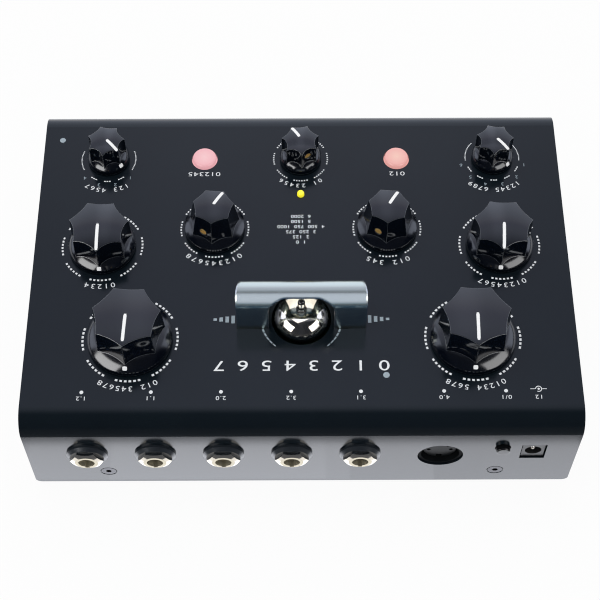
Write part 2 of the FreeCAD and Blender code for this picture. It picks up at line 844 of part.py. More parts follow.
def grub_screw(name, kind, side, angle):
    """The slotted brass screw that clamps a knob to its spindle, opposite the pointer."""
    height = f"{kind}_screw_height"
    wall = f"({flute_axis(kind, height)} - {kind}_flute_radius)"
    length = f"({wall} - spindle_flat - grub_hole_clearance - grub_recess)"
    rod = put(cylinder("grub_radius", length), "-spindle_flat - grub_hole_clearance", "0", height, (0, 1, 0), -90.0)
    slot = box("grub_slot_depth", "2 * grub_radius + 0.2", "grub_slot_width")
    put(slot, f"-({wall} - grub_recess)", "-grub_radius - 0.1", f"{height} - grub_slot_width / 2")
    place_on_panel(node(cut(rod, slot), f"{name}_grub_screw"), kind, side, angle)


def potentiometer(kind, side, can_radius):
    """A round can under the panel, its threaded bush through it and its terminal block."""
    x, y = knob_place(kind, side)
    can = put(cylinder(can_radius, "pot_height"), x, y, "control_board_top")
    bush = put(cylinder("bush_radius", "sheet + bush_height"), x, y, "inside_top")
    tab = box("pot_tab_width", "pot_tab_reach", "pot_tab_height")
    put(tab, f"{x} - pot_tab_width / 2", f"{y} - pot_tab_reach", "control_board_top")
    bore = cylinder("spindle_hole", "pot_height + sheet + bush_height")
    put(bore, x, y, "control_board_top + 1")
    return cut(fuse(can, bush, tab), bore)


def potentiometers():
    pots = []
    switches = []
    for name, kind, side, angle in KNOBS:
        if name in SWITCHED:
            switches.append(potentiometer(kind, side, "switch_radius"))
        else:
            pots.append(potentiometer(kind, side, "pot_radius"))
    group("potentiometers", pots)
    group("mode_switches", switches)


def panel_nuts():
    """A washer and a nut on every bush, hidden in the knobs."""
    washers = []
    nuts = []
    for name, kind, side, angle in KNOBS:
        x, y = knob_place(kind, side)
        hole = "bush_radius + nut_clearance"
        washer = cut(cylinder("washer_radius", "washer_thickness"), cylinder(hole, "washer_thickness"))
        washers.append(put(washer, x, y, "panel_top"))
        nut = cut(hexagon("nut_across_flats", "nut_thickness"), cylinder(hole, "nut_thickness"))
        nuts.append(put(nut, x, y, "panel_top + washer_thickness"))
    group("panel_washers", washers)
    group("panel_nuts", nuts)


# Buttons and lamp

def push_button(label, side):
    """A lit cap that stands out of the panel, held in by its flange, with a stem to its switch."""
    body = new_body(label)
    flange_top = "-sheet - button_flange_gap"
    flange_low = f"{flange_top} - button_flange_thickness"
    stem_low = "button_switch_floor + button_switch_spare + button_travel - pot_height - sheet"
    profile = new_sketch(body, "XZ_Plane")
    edge = "button_edge"
    outline(profile, [
        ("0", stem_low),
        ("button_stem_radius", stem_low),
        ("button_stem_radius", flange_low),
        ("button_hole + button_flange", flange_low),
        ("button_hole + button_flange", flange_top),
        ("button_radius", flange_top),
        ("button_radius", f"button_height - {edge}", f"button_radius - {edge}", f"button_height - {edge}", edge, 1),
        (f"button_radius - {edge}", "button_height"),
        ("0", "button_height"),
    ])
    turned(body, profile)
    put(body, f"{side} * button_x", "button_y", "panel_top")


def button_switches():
    """The two switches under the buttons, each with a well for the stem."""
    switches = []
    half = "button_switch_width / 2"
    for side in (-1, 1):
        x = f"{side} * button_x"
        block = box("button_switch_width", "button_switch_width", "button_switch_height")
        put(block, f"{x} - {half}", f"button_y - {half}", "control_board_top")
        well = cylinder("button_stem_radius + stem_clearance", "button_switch_height")
        put(well, x, "button_y", "control_board_top + button_switch_floor")
        switches.append(cut(block, well))
    group("button_switches", switches)


def level_lamp():
    """A round lamp in the panel, with two legs down to the board."""
    body = new_body("level_lamp")
    collar_top = "-sheet - 0.1"
    collar_low = "-sheet - 4.2"
    profile = new_sketch(body, "XZ_Plane")
    outline(profile, [
        ("0", collar_low),
        ("lamp_collar_radius", collar_low),
        ("lamp_collar_radius", collar_top),
        ("lamp_radius", collar_top),
        ("lamp_radius", "lamp_height - lamp_radius", "0", "lamp_height - lamp_radius", "lamp_radius", 1),
        ("0", "lamp_height"),
    ])
    turned(body, profile)
    for side in (-1, 1):
        leg = primitive(body, "AdditiveBox", Length="lamp_leg", Width="lamp_leg", Height="pot_height - 4.1")
        put(leg, f"{side} * lamp_leg_spacing / 2 - lamp_leg / 2", "-lamp_leg / 2", "-sheet - pot_height")
    put(body, "0", "lamp_y", "panel_top")


# Valve and hood

def valve_glass():
    """The glass envelope: a closed shell with a round shoulder, a dome and a drawn tip."""
    body = new_body("valve_glass")
    seat = "-valve_seat_drop"
    wall = "valve_wall"
    level = "valve_shoulder_height"
    round_radius = "valve_shoulder_radius"
    centre = "(valve_radius - valve_shoulder_radius)"
    tip = "valve_tip_radius"
    neck = "(valve_tip_radius + valve_tip_flare)"
    profile = new_sketch(body, "XZ_Plane")
    outline(profile, [
        ("0", seat),
        ("valve_base_radius", seat),
        ("valve_radius", f"{seat} + 2"),
        ("valve_radius", level, centre, level, round_radius, 1),
        (neck, f"{level} + sqrt({round_radius} ^ 2 - ({neck} - {centre}) ^ 2)"),
        (tip, "valve_dome_height + 1"),
        (tip, f"valve_tip_height - {tip}", "0", f"valve_tip_height - {tip}", tip, 1),
        ("0", "valve_tip_height"),
    ])
    turned(body, profile)
    hollow = new_sketch(body, "XZ_Plane")
    inner_round = f"({round_radius} - {wall})"
    outline(hollow, [
        ("0", f"{seat} + 2"),
        (f"valve_base_radius - {wall}", f"{seat} + 2"),
        (f"valve_radius - {wall}", f"{seat} + 4"),
        (f"valve_radius - {wall}", level, centre, level, inner_round, 1),
        (centre, f"{level} + {inner_round}"),
        ("0", f"{level} + {inner_round}"),
    ])
    turned(body, hollow, "Groove")
    put(body, "0", "valve_y", "panel_top")


def valve_electrodes():
    """Two anode boxes between two mica discs, as they stand in the envelope."""
    low = "valve_seat_z + electrode_rise"
    pieces = []
    for level in (low, f"{low} + mica_thickness + anode_height"):
        pieces.append(put(cylinder("mica_radius", "mica_thickness"), "0", "valve_y", level))
    for side in (-1, 1):
        anode = box("anode_width", "anode_depth", "anode_height")
        put(anode, f"{side} * anode_spacing / 2 - anode_width / 2", "valve_y - anode_depth / 2",
            f"{low} + mica_thickness")
        pieces.append(anode)
    for side in (-1, 1):
        post = cylinder("pin_radius", "electrode_rise - 2")
        pieces.append(put(post, f"{side} * pin_circle_radius", "valve_y", "valve_seat_z + 2"))
    node(fuse(*pieces), "valve_electrodes")


def valve_pin_places():
    """The nine pins stand on a circle with one place of ten left out, at the rear."""
    places = []
    for index in range(VALVE_PINS):
        angle = 90.0 + 36.0 * (index + 1)
        places.append((f"pin_circle_radius * cos({angle})", f"valve_y + pin_circle_radius * sin({angle})"))
    return places


def valve_pins():
    pins = []
    for x, y in valve_pin_places():
        pins.append(put(cylinder("pin_radius", "pin_length"), x, y, "valve_seat_z - pin_length"))
    group("valve_pins", pins)


def valve_socket():
    """The round socket that the valve's pins plug into, on its own board."""
    block = cylinder("valve_socket_radius", "valve_socket_height")
    put(block, "0", "valve_y", "valve_seat_z - valve_socket_height")
    holes = [put(cylinder("valve_socket_hole", "valve_socket_height"), "0", "valve_y", "valve_board_z")]
    for x, y in valve_pin_places():
        hole = cylinder("pin_radius + pin_clearance", "pin_length + 0.2")
        holes.append(put(hole, x, y, "valve_seat_z - pin_length - 0.2"))
    node(cut(block, fuse(*holes)), "valve_socket")


def hood_rear_tab_y():
    return "hood_rear_y - hood_sheet", "hood_rear_y"


def hood_front_y(inset):
    """Where the hood's sloping front meets the panel, at a distance inside its outer face."""
    angle = "hood_front_angle"
    run = f"(hood_bend - {inset}) / sin({angle}) + (hood_wall_height) * cos({angle}) / sin({angle})"
    return f"(hood_centre_y - ({run}))"


def hood_front_tab_y():
    low = hood_front_y("0")
    return f"{low} + 0.1", f"{low} + hood_sheet"


def valve_hood():
    """A strip bent over the valve: a high rear wall, a round bend and a sloping front."""
    body = new_body("valve_hood")
    angle = "hood_front_angle"
    centre = "hood_centre_y"
    inner_bend = "hood_bend - hood_sheet"

    def bend_end(radius):
        return f"{centre} - ({radius}) * sin({angle})", f"hood_wall_height + ({radius}) * cos({angle})"

    profile = new_sketch(body, "YZ_Plane")
    outer_end = bend_end("hood_bend")
    inner_end = bend_end(inner_bend)
    outline(profile, [
        ("hood_rear_y", "0"),
        ("hood_rear_y", "hood_wall_height", centre, "hood_wall_height", "hood_bend", 1),
        outer_end,
        (hood_front_y("0"), "0"),
        (hood_front_y("hood_sheet"), "0"),
        (inner_end[0], inner_end[1], centre, "hood_wall_height", inner_bend, -1),
        ("hood_rear_y - hood_sheet", "hood_wall_height"),
        ("hood_rear_y - hood_sheet", "0"),
    ])
    feature(body, "Pad", profile, "hood_width", both_ways=True)
    round_hood_ends(body)
    opening = new_sketch(body, "XZ_Plane", "-(hood_rear_y + 1)")
    round_rectangle(opening, "hood_opening_width / 2", "-1", "hood_opening_height", "hood_opening_corner")
    feature(body, "Pocket", opening, "hood_sheet + hood_bend", reverse=True)
    for side in (-1, 1):
        for low, high in (hood_rear_tab_y(), hood_front_tab_y()):
            tab = primitive(body, "AdditiveBox", Length="hood_tab_width", Width=f"({high}) - ({low})",
                            Height="hood_tab_length + 0.5")
            put(tab, f"{side} * hood_tab_x - hood_tab_width / 2", low, "-hood_tab_length")
    put(body, "0", "0", "panel_top")


def round_hood_ends(body):
    """Take the hood's ends in towards the front, each along an arc seen from above."""
    start = "(hood_rear_y - hood_end_start)"
    front = f"({hood_front_y('0')} - 1)"
    half = "(hood_width / 2)"
    radius = "hood_end_radius"
    drop = f"({start} - {front})"
    inner = f"({half} - ({radius} - sqrt({radius} ^ 2 - {drop} ^ 2)))"
    for side in (-1, 1):
        corner = new_sketch(body, "XY_Plane", "hood_top_height + 1")
        centre_x = f"{side} * ({half} - {radius})"
        outline(corner, [
            (f"{side} * {half}", start, centre_x, start, radius, -side),
            (f"{side} * {inner}", front),
            (f"{side} * ({half} + 1)", front),
            (f"{side} * ({half} + 1)", start),
        ])
        feature(body, "Pocket", corner, "hood_top_height + 2")


# Sockets at the rear

def jack_housing(x):
    """The plastic part of a jack socket, under the main board and against the rear sheet."""
    body_low = "rear_inside - sheet_gap - jack_body_length"
    housing = box("jack_body_width", "jack_body_length", "2 * jack_above_axis")
    put(housing, f"{x} - jack_body_width / 2", body_low, "jack_z - jack_above_axis")
    bore = cylinder("jack_bore_radius", "jack_body_length")
    put(bore, x, f"{body_low} + jack_back_wall", "jack_z", (1, 0, 0), -90.0)
    seat = cylinder("jack_bush_radius + jack_nut_clearance", "jack_bush_root")
    put(seat, x, "rear_inside - sheet_gap - jack_bush_root", "jack_z", (1, 0, 0), -90.0)
    return cut(housing, fuse(bore, seat))


def jack_bush(x):
    """The threaded metal bush that goes through the rear sheet, with a notch in its lower edge."""
    reach = "sheet + sheet_gap + jack_bush_reach"
    bush = cylinder("jack_bush_radius", f"jack_bush_root + {reach}")
    bore = cylinder("jack_bore_radius", f"jack_bush_root + {reach}")
    pipe = put(cut(bush, bore), x, "rear_inside - sheet_gap - jack_bush_root", "jack_z", (1, 0, 0), -90.0)
    notch = box("jack_notch_width", reach, "jack_notch_radius")
    put(notch, f"{x} - jack_notch_width / 2", "rear_inside", "jack_z - jack_notch_radius")
    return cut(pipe, notch)


def jack_washer(x):
    """A black collar with a sloping shoulder between the rear sheet and the nut."""
    rim = cylinder("jack_washer_radius", "jack_washer_rim")
    slope = cone("jack_washer_radius", "jack_washer_shoulder_radius", "jack_washer_height - jack_washer_rim")
    put(slope, z="jack_washer_rim")
    hole = cylinder("jack_bush_radius + jack_nut_clearance", "jack_washer_height")
    return put(cut(fuse(rim, slope), hole), x, "rear_face", "jack_z", (1, 0, 0), -90.0)


def jack_nut(x):
    """A hexagon nut whose outer face falls away from the bush to the corners, along a sphere."""
    blank = hexagon("jack_nut_across_flats", "jack_nut_thickness")
    bore = "(jack_bush_radius + jack_nut_clearance)"
    corner = "(jack_nut_across_flats / 2 / cos(30))"
    thick = "jack_nut_thickness"
    low = "jack_nut_corner_height"
    centre = f"(({bore} ^ 2 + {thick} ^ 2 - {corner} ^ 2 - {low} ^ 2) / (2 * ({thick} - {low})))"
    ball = bind(doc.addObject("Part::Sphere", "Sphere"), Radius=f"sqrt({bore} ^ 2 + ({thick} - {centre}) ^ 2)")
    put(ball, z=centre)
    hole = cylinder(bore, thick)
    nut = cut(common(blank, ball), hole)
    return put(nut, x, "rear_face + jack_washer_height", "jack_z", (1, 0, 0), -90.0)


def jacks():
    group("jack_housings", [jack_housing(x) for x in jack_xs()])
    group("jack_bushes", [jack_bush(x) for x in jack_xs()])
    group("jack_washers", [jack_washer(x) for x in jack_xs()])
    group("jack_nuts", [jack_nut(x) for x in jack_xs()])


def midi_socket():
    """A round five-pole socket: a nose through the rear sheet, a ring groove and a keyed insert."""
    face = "rear_face - midi_nose_recess"
    back = "rear_inside - sheet_gap"
    block = box("midi_body_width", "midi_body_depth", "main_board_z - midi_z + midi_below_axis")
    put(block, "-midi_x - midi_body_width / 2", f"{back} - midi_body_depth", "midi_z - midi_below_axis")
    nose = cylinder("midi_nose_radius", f"{face} - ({back}) + 1")
    put(nose, "-midi_x", f"{back} - 1", "midi_z", (1, 0, 0), -90.0)
    groove = cut(cylinder("midi_ring_outer", "midi_ring_depth"),
                 cylinder("midi_ring_inner", "midi_ring_depth - midi_insert_recess"))
    put(groove, "-midi_x", f"{face} - midi_ring_depth", "midi_z", (1, 0, 0), -90.0)
    tools = [groove]
    for index in range(5):
        angle = 45.0 * index
        hole = cylinder("midi_pin_radius", "midi_pin_depth + 1")
        put(hole, f"-midi_x + midi_pin_circle * cos({angle})", f"{face} - midi_insert_recess - midi_pin_depth",
            f"midi_z + midi_pin_circle * sin({angle})", (1, 0, 0), -90.0)
        tools.append(hole)
    key = box("midi_key_width", "midi_ring_depth", "midi_ring_inner - midi_pin_circle")
    put(key, "-midi_x - midi_key_width / 2", f"{face} - midi_ring_depth", "midi_z - midi_ring_inner")
    tools.append(key)
    node(cut(fuse(block, nose), fuse(*tools)), "midi_socket")


def power_inlet():
    """The power inlet's black housing with a round bore, and the bright pin in the bore."""
    face = "rear_face - power_inlet_recess"
    block = box("power_inlet_width", "power_inlet_length", "main_board_z - power_inlet_z + power_inlet_below_axis")
    put(block, "-power_inlet_x - power_inlet_width / 2", f"{face} - power_inlet_length",
        "power_inlet_z - power_inlet_below_axis")
    step = box("power_inlet_width", "power_inlet_length", "power_inlet_length")
    put(step, "-power_inlet_x - power_inlet_width / 2", "rear_inside - sheet_gap",
        "power_inlet_z + power_inlet_below_axis")
    bore = cylinder("power_inlet_bore", "power_inlet_depth + 1")
    put(bore, "-power_inlet_x", f"{face} - power_inlet_depth", "power_inlet_z", (1, 0, 0), -90.0)
    node(cut(block, fuse(step, bore)), "power_inlet")
    tip = "power_pin_radius"
    rod = cylinder("power_pin_radius", f"power_inlet_depth - power_pin_recess - {tip}")
    ball = bind(doc.addObject("Part::Sphere", "Sphere"), Radius=tip)
    put(ball, z=f"power_inlet_depth - power_pin_recess - {tip}")
    put(node(fuse(rod, ball), "power_inlet_pin"), "-power_inlet_x", f"{face} - power_inlet_depth",
        "power_inlet_z", (1, 0, 0), -90.0)


def power_switch():
    """A latching switch: its housing under the main board and the black button at the rear."""
    front = "rear_inside - 1 - power_button_travel - power_button_spare"
    low = f"{front} - power_switch_length"
    block = box("power_switch_width", "power_switch_length",
                "main_board_z - power_button_z + power_switch_below_axis")
    put(block, "-power_button_x - power_switch_width / 2", low, "power_button_z - power_switch_below_axis")
    bore = cylinder("power_stem_radius + stem_clearance", "power_switch_length")
    put(bore, "-power_button_x", f"{low} + 1", "power_button_z", (1, 0, 0), -90.0)
    node(cut(block, bore), "power_switch_body")

    body = new_body("power_button")
    reach = "(rear_face + power_button_reach)"
    cap_back = "(rear_inside - 1)"
    edge = "power_button_edge"
    profile = new_sketch(body, "XZ_Plane")
    cap = f"({reach} - {cap_back})"
    outline(profile, [
        ("0", "-power_stem_length"),
        ("power_stem_radius", "-power_stem_length"),
        ("power_stem_radius", "0"),
        ("power_button_radius", "0"),
        ("power_button_radius", f"{cap} - {edge}", f"power_button_radius - {edge}", f"{cap} - {edge}", edge, 1),
        (f"power_button_radius - {edge}", cap),
        ("0", cap),
    ])
    turned(body, profile)
    put(body, "-power_button_x", cap_back, "power_button_z", (1, 0, 0), -90.0)


# Boards

def board(label, width, front, rear, low, holes):
    """A circuit board with round holes in it, each (x, y, radius)."""
    body = new_body(label)
    sketch = new_sketch(body, "XY_Plane", low)
    rectangle(sketch, f"-{width} / 2", f"{width} / 2", front, rear)
    for x, y, radius in holes:
        ring(sketch, x, y, radius)
    feature(body, "Pad", sketch, "board_thickness")


def main_corners():
    return four_corners("spacer_x", "spacer_front_y", "spacer_rear_y")


def valve_corners():
    return four_corners("valve_spacer_x", "valve_y - valve_spacer_reach", "valve_y + valve_spacer_reach")


def boards():
    screw_hole = "spacer_bore + spacer_clearance"
    holes = [(x, y, screw_hole) for x, y in main_corners()]
    small_holes = [(x, y, screw_hole) for x, y in valve_corners()]
    window = [("0", "valve_y", "board_valve_hole")]
    board("control_board", "board_width", "control_board_from_front - rear_face",
          "rear_face - control_board_from_rear", "control_board_top - board_thickness", window + holes)
    board("main_board", "board_width", "main_board_front", "main_board_rear", "main_board_z",
          window + holes + small_holes)
    board("valve_board", "valve_board_width", "valve_y - valve_board_depth / 2", "valve_y + valve_board_depth / 2",
          "valve_board_z", small_holes)


def spacer(x, y, low, length):
    made = cut(cylinder("spacer_radius", length), cylinder("spacer_bore", length))
    return put(made, x, y, low)


def board_screw(x, y, low):
    """A screw whose head is under a board and whose shank goes up into a spacer."""
    head = cylinder("board_screw_head_radius", "board_screw_head_height")
    shank = put(cylinder("spacer_bore - spacer_clearance", "board_screw_length"), z="board_screw_head_height")
    return put(fuse(head, shank), x, y, f"{low} - board_screw_head_height")


def board_fixings():
    """Spacers between the boards, the screws that hold them and the connector that joins two boards."""
    gap_low = "main_board_z + board_thickness"
    gap = f"(control_board_top - board_thickness - ({gap_low}))"
    valve_low = "valve_board_z + board_thickness"
    spacers = [spacer(x, y, gap_low, gap) for x, y in main_corners()]
    spacers += [spacer(x, y, valve_low, f"main_board_z - ({valve_low})") for x, y in valve_corners()]
    group("board_spacers", spacers)
    screws = [board_screw(x, y, "main_board_z") for x, y in main_corners()]
    screws += [board_screw(x, y, "valve_board_z") for x, y in valve_corners()]
    group("board_screws", screws)
    link = box("link_length", "link_width", gap)
    put(node(link, "board_link"), "link_x - link_length / 2", "main_board_front + link_from_front - link_width / 2",
        gap_low)


# Build everything, check it and write it

def build():
    top_cover()
    bottom_chassis()
    rubber_feet()
    cover_screws()
    for name, kind, side, angle in KNOBS:
        fluted_knob(name, kind, side, angle)
        spindle(name, kind, side, angle)
        grub_screw(name, kind, side, angle)
    potentiometers()
    panel_nuts()
    push_button("bypass_button", 1)
    push_button("tap_button", -1)
    button_switches()
    level_lamp()
    valve_glass()
    valve_electrodes()
    valve_pins()
    valve_socket()
    valve_hood()
    jacks()
    midi_socket()
    power_inlet()
    power_switch()
    boards()
    board_fixings()
    doc.recompute()


def check():
    """Stop if any object failed or any sub-part is empty or broken."""
    for thing in doc.Objects:
        if "Invalid" in thing.State or "Error" in thing.State:
            raise RuntimeError(f"{thing.Name} ({thing.Label}) failed: {thing.State}")
    for piece in nodes:
        if piece.Shape.isNull() or not piece.Shape.isValid() or not piece.Shape.Solids:
            raise RuntimeError(f"{piece.Label} has no valid solid")


def export():
    os.makedirs("parts", exist_ok=True)
    for piece in nodes:
        piece.Shape.exportStep(f"parts/{piece.Label}.step")
    solids = sum(len(piece.Shape.Solids) for piece in nodes)
    print(f"{len(nodes)} nodes, {solids} solids")


build()
check()
export()
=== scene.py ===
import math

import bmesh
import bpy
from mathutils import Matrix, Vector


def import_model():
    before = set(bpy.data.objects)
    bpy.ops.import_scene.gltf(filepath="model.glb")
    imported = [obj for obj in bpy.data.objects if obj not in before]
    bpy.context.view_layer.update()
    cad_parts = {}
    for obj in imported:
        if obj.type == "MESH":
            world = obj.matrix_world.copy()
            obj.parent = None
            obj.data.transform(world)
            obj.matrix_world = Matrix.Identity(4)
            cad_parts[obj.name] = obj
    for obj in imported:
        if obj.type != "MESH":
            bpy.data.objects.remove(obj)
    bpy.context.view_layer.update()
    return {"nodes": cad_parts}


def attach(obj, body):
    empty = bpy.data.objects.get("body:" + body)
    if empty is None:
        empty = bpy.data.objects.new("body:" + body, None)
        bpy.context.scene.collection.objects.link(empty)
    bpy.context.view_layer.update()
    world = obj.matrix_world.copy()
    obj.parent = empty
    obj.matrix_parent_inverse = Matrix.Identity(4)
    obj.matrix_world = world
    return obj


# Looks of the delay unit: materials, printed marks, pointers, lit parts, valve, light and camera.
# Blender's lengths are metres, in the model's own frame: X to the right from the front, Y to the rear, Z up.
# Sizes and places of the printed marks and the knobs are written in millimetres and multiplied by MM.

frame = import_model()

MM = 0.001
PANEL_TOP = 54.5 * MM
PRINT_GAP = 0.03 * MM
PRINT_HEIGHT = 0.04 * MM
GRAIN_DEPTH = 0.03 * MM

# Height of a digit as a share of its font size
DIGIT_SHARE = 0.7

# Places that materials and marks are laid out from, in millimetres: the lit buttons, the valve's axis and the
# round socket's axis
BUTTON_X = 41.0
BUTTON_Y = -50.1
BUTTON_RADIUS = 5.0
VALVE_Y = 28.7
SOCKET_X = -55.5
SOCKET_Z = 27.1

# Each knob: its kind, its place on the panel and the way its pointer looks, in degrees
KNOBS = {
    "filter_mode": ("small", 82.0, -50.2, 135.0),
    "input_level": ("small", 0.0, -50.2, 300.0),
    "delay_mode": ("small", -82.0, -50.2, 135.0),
    "resonance": ("medium", 35.8, -14.6, 240.0),
    "mix": ("medium", -35.8, -14.6, 240.0),
    "drive": ("wide", 82.0, -6.1, 89.0),
    "feedback": ("wide", -82.0, -6.1, 87.0),
    "cutoff": ("large", 68.3, 37.8, 87.0),
    "delay_time": ("large", -68.3, 37.8, 89.0),
}

# Sizes of each kind of knob that its marks follow, in millimetres and degrees: its domed top and the line on
# it, its sloping skirt and the dot on it, and the ring of dashes on the panel. Medium knobs have no dot.
SMALL = {"top": 13.2, "crown": 1.9, "top_radius": 7.95, "start": 0.8, "end": 7.4,
         "skirt": 8.8, "rim": 2.95, "shoulder": 5.0, "lip": 66.0, "dot": 8.35,
         "ring": 11.5, "dash": 0.54, "dash_width": 0.6}
MEDIUM = {"top": 16.5, "crown": 1.3, "top_radius": 8.72, "start": 0.4, "end": 7.9,
          "ring": 14.0, "dash": 0.7, "dash_width": 0.68}
WIDE = {"top": 15.4, "crown": 2.4, "top_radius": 12.25, "start": 0.4, "end": 11.7,
        "skirt": 13.8, "rim": 2.9, "shoulder": 7.0, "lip": 60.0, "dot": 13.25,
        "ring": 16.5, "dash": 0.88, "dash_width": 0.76}
LARGE = {"top": 18.6, "crown": 1.3, "top_radius": 13.65, "start": -0.3, "end": 11.4,
         "skirt": 17.0, "rim": 3.3, "shoulder": 9.0, "lip": 54.0, "dot": 15.75,
         "ring": 18.95, "dash": 1.06, "dash_width": 0.86}
KINDS = {"small": SMALL, "medium": MEDIUM, "wide": WIDE, "large": LARGE}
POINTER_WIDTH = 1.36
GROOVE_DEPTH = 0.1

# Number scale behind each knob: its text, its arc's radius and span in degrees, and its height
SCALES = {
    "cutoff": ("012 345678", 22.2, 58.0, 2.2),
    "delay_time": ("01234 5678", 22.2, 58.0, 2.2),
    "drive": ("01234", 19.3, 32.0, 2.2),
    "feedback": ("01234567", 19.3, 54.0, 2.2),
    "resonance": ("012345678", 16.9, 76.0, 2.2),
    "mix": ("012 345", 16.9, 56.0, 2.2),
    "filter_mode": ("123 4567", 16.0, 62.0, 2.1),
    "delay_mode": ("12345 6789", 16.4, 74.0, 2.1),
    "input_level": ("01 23456", 13.9, 72.0, 1.9),
}

# Numbers along the panel's rear edge and their X: five jack sockets, the round socket and the power button.
# The inlet has a number and the sign of its polarity.
SOCKET_NUMBERS = (
    ("1.2", 86.05),
    ("1.1", 58.95),
    ("2.0", 31.57),
    ("3.2", 4.12),
    ("3.1", -23.1),
    ("4.0", -55.6),
    ("0/1", -79.8),
)
SOCKET_NUMBERS_Y = 64.1
INLET_X = -92.6

# Rows of numbers in the middle of the panel
LIST_ROWS = ("1  0", "2  125", "3  250  375", "4  500  750  1000", "5  1500", "6  2000")


# Nodes

def add_node(owner, kind, **values):
    """A node in a material's or the world's tree, with sockets and settings by their names."""
    node = owner.node_tree.nodes.new(kind)
    for name, value in values.items():
        if name in node.inputs:
            node.inputs[name].default_value = value
        else:
            setattr(node, name, value)
    return node


def link(owner, source, target):
    """Join two sockets."""
    owner.node_tree.links.new(source, target)


def object_space(material):
    """A surface point's place in its object."""
    return add_node(material, "ShaderNodeTexCoord").outputs["Object"]


def axes(owner, vector):
    """The X, Y and Z of a vector."""
    parts = add_node(owner, "ShaderNodeSeparateXYZ")
    link(owner, vector, parts.inputs["Vector"])
    return [parts.outputs[axis] for axis in "XYZ"]


def calculate(owner, operation, first, second=0.0):
    """One step of arithmetic on two values, each a number or a socket."""
    node = add_node(owner, "ShaderNodeMath", operation=operation)
    for socket, value in zip(node.inputs, (first, second)):
        if isinstance(value, bpy.types.NodeSocket):
            link(owner, value, socket)
        else:
            socket.default_value = value
    return node.outputs["Value"]


def remap(owner, source, low, high, to_low=0.0, to_high=1.0, course="LINEAR"):
    """A value taken from one range to another and held at its ends."""
    node = add_node(owner, "ShaderNodeMapRange", interpolation_type=course)
    node.inputs["From Min"].default_value = low
    node.inputs["From Max"].default_value = high
    node.inputs["To Min"].default_value = to_low
    node.inputs["To Max"].default_value = to_high
    link(owner, source, node.inputs["Value"])
    return node.outputs["Result"]


def smooth_step(owner, source, low, high):
    """From 0 at the low limit to 1 at the high one, smoothly."""
    return remap(owner, source, low, high, course="SMOOTHSTEP")


def color_ramp(owner, source, stops):
    """A colour that follows a value; the stops are places and colours in rising order."""
    node = add_node(owner, "ShaderNodeValToRGB")
    elements = node.color_ramp.elements
    elements[0].position = stops[0][0]
    elements[1].position = stops[-1][0]
    for place, color in stops[1:-1]:
        elements.new(place)
    for element, (place, color) in zip(elements, stops):
        element.color = (*color, 1.0)
    link(owner, source, node.inputs["Fac"])
    return node.outputs["Color"]


def mix_shaders(owner, share, first, second):
    """The first shader, and the second one by its share."""
    node = add_node(owner, "ShaderNodeMixShader")
    link(owner, share, node.inputs["Fac"])
    link(owner, first, node.inputs[1])
    link(owner, second, node.inputs[2])
    return node.outputs["Shader"]


def noise(material, scale, detail, stretch=(1, 1, 1)):
    """Noise in object space, stretched along its axes."""
    mapping = add_node(material, "ShaderNodeMapping")
    mapping.inputs["Scale"].default_value = stretch
    cloud = add_node(material, "ShaderNodeTexNoise", Scale=scale, Detail=detail)
    link(material, object_space(material), mapping.inputs["Vector"])
    link(material, mapping.outputs["Vector"], cloud.inputs["Vector"])
    return cloud.outputs["Fac"]


def away_from_axis(material, point, across):
    """How far the surface is from an axis through a point; across is 1 in the two directions off the axis."""
    shift = add_node(material, "ShaderNodeVectorMath", operation="SUBTRACT")
    shift.inputs[1].default_value = point
    flat = add_node(material, "ShaderNodeVectorMath", operation="MULTIPLY")
    flat.inputs[1].default_value = across
    away = add_node(material, "ShaderNodeVectorMath", operation="LENGTH")
    link(material, object_space(material), shift.inputs[0])
    link(material, shift.outputs["Vector"], flat.inputs[0])
    link(material, flat.outputs["Vector"], away.inputs[0])
    return away.outputs["Value"]


# Materials

def new_material(name, color, roughness, metallic=0.0, **sockets):
    """A node material with one Principled shader; other sockets are set by their names."""
    material = bpy.data.materials.new(name)
    material.use_nodes = True
    shader = shader_of(material)
    shader.inputs["Base Color"].default_value = (*color, 1.0)
    shader.inputs["Roughness"].default_value = roughness
    shader.inputs["Metallic"].default_value = metallic
    for socket, value in sockets.items():
        shader.inputs[socket.replace("_", " ")].default_value = value
    return material, shader


def shader_of(material):
    """A material's Principled shader."""
    return material.node_tree.nodes["Principled BSDF"]


def vary(material, shader, socket, scale, low, high, stretch=(1, 1, 1)):
    """Let a noise move a shader's value between two limits."""
    value = remap(material, noise(material, scale, 4.0, stretch), 0.0, 1.0, low, high)
    link(material, value, shader.inputs[socket])


def tint(material, shader, scale, dark, light):
    """Let a soft noise move the base colour between two colours."""
    color = color_ramp(material, noise(material, scale, 3.0), ((0.35, dark), (0.65, light)))
    link(material, color, shader.inputs["Base Color"])


def grain(material, shader, scale, strength, depth, stretch=(1, 1, 1)):
    """A fine bump from noise."""
    bump = add_node(material, "ShaderNodeBump", Strength=strength, Distance=depth)
    link(material, noise(material, scale, 3.0, stretch), bump.inputs["Height"])
    link(material, bump.outputs["Normal"], shader.inputs["Normal"])


def edges_with_painted_highlight(material, radius, flat_color, edge_highlight_color):
    """Round a material's edges to the light and give them a lighter colour, a painted highlight; returns the
    geometry node.
    """
    shader = shader_of(material)
    facing = add_node(material, "ShaderNodeNewGeometry")
    soft = add_node(material, "ShaderNodeBevel", samples=8, Radius=radius)
    apart = add_node(material, "ShaderNodeVectorMath", operation="DOT_PRODUCT")
    link(material, soft.outputs["Normal"], apart.inputs[0])
    link(material, facing.outputs["Normal"], apart.inputs[1])
    # Cosines between the rounded direction and the face's own: flat above the first, edge below the second
    flat_above = 0.93
    edge_below = 0.82
    edge_highlight_share = remap(material, apart.outputs["Value"], flat_above, edge_below)
    # The edge colour is a painted highlight, laid where the rounded direction leaves the face's own.
    color = color_ramp(material, edge_highlight_share, ((0.0, flat_color), (1.0, edge_highlight_color)))
    link(material, color, shader.inputs["Base Color"])
    link(material, soft.outputs["Normal"], shader.inputs["Normal"])
    return facing


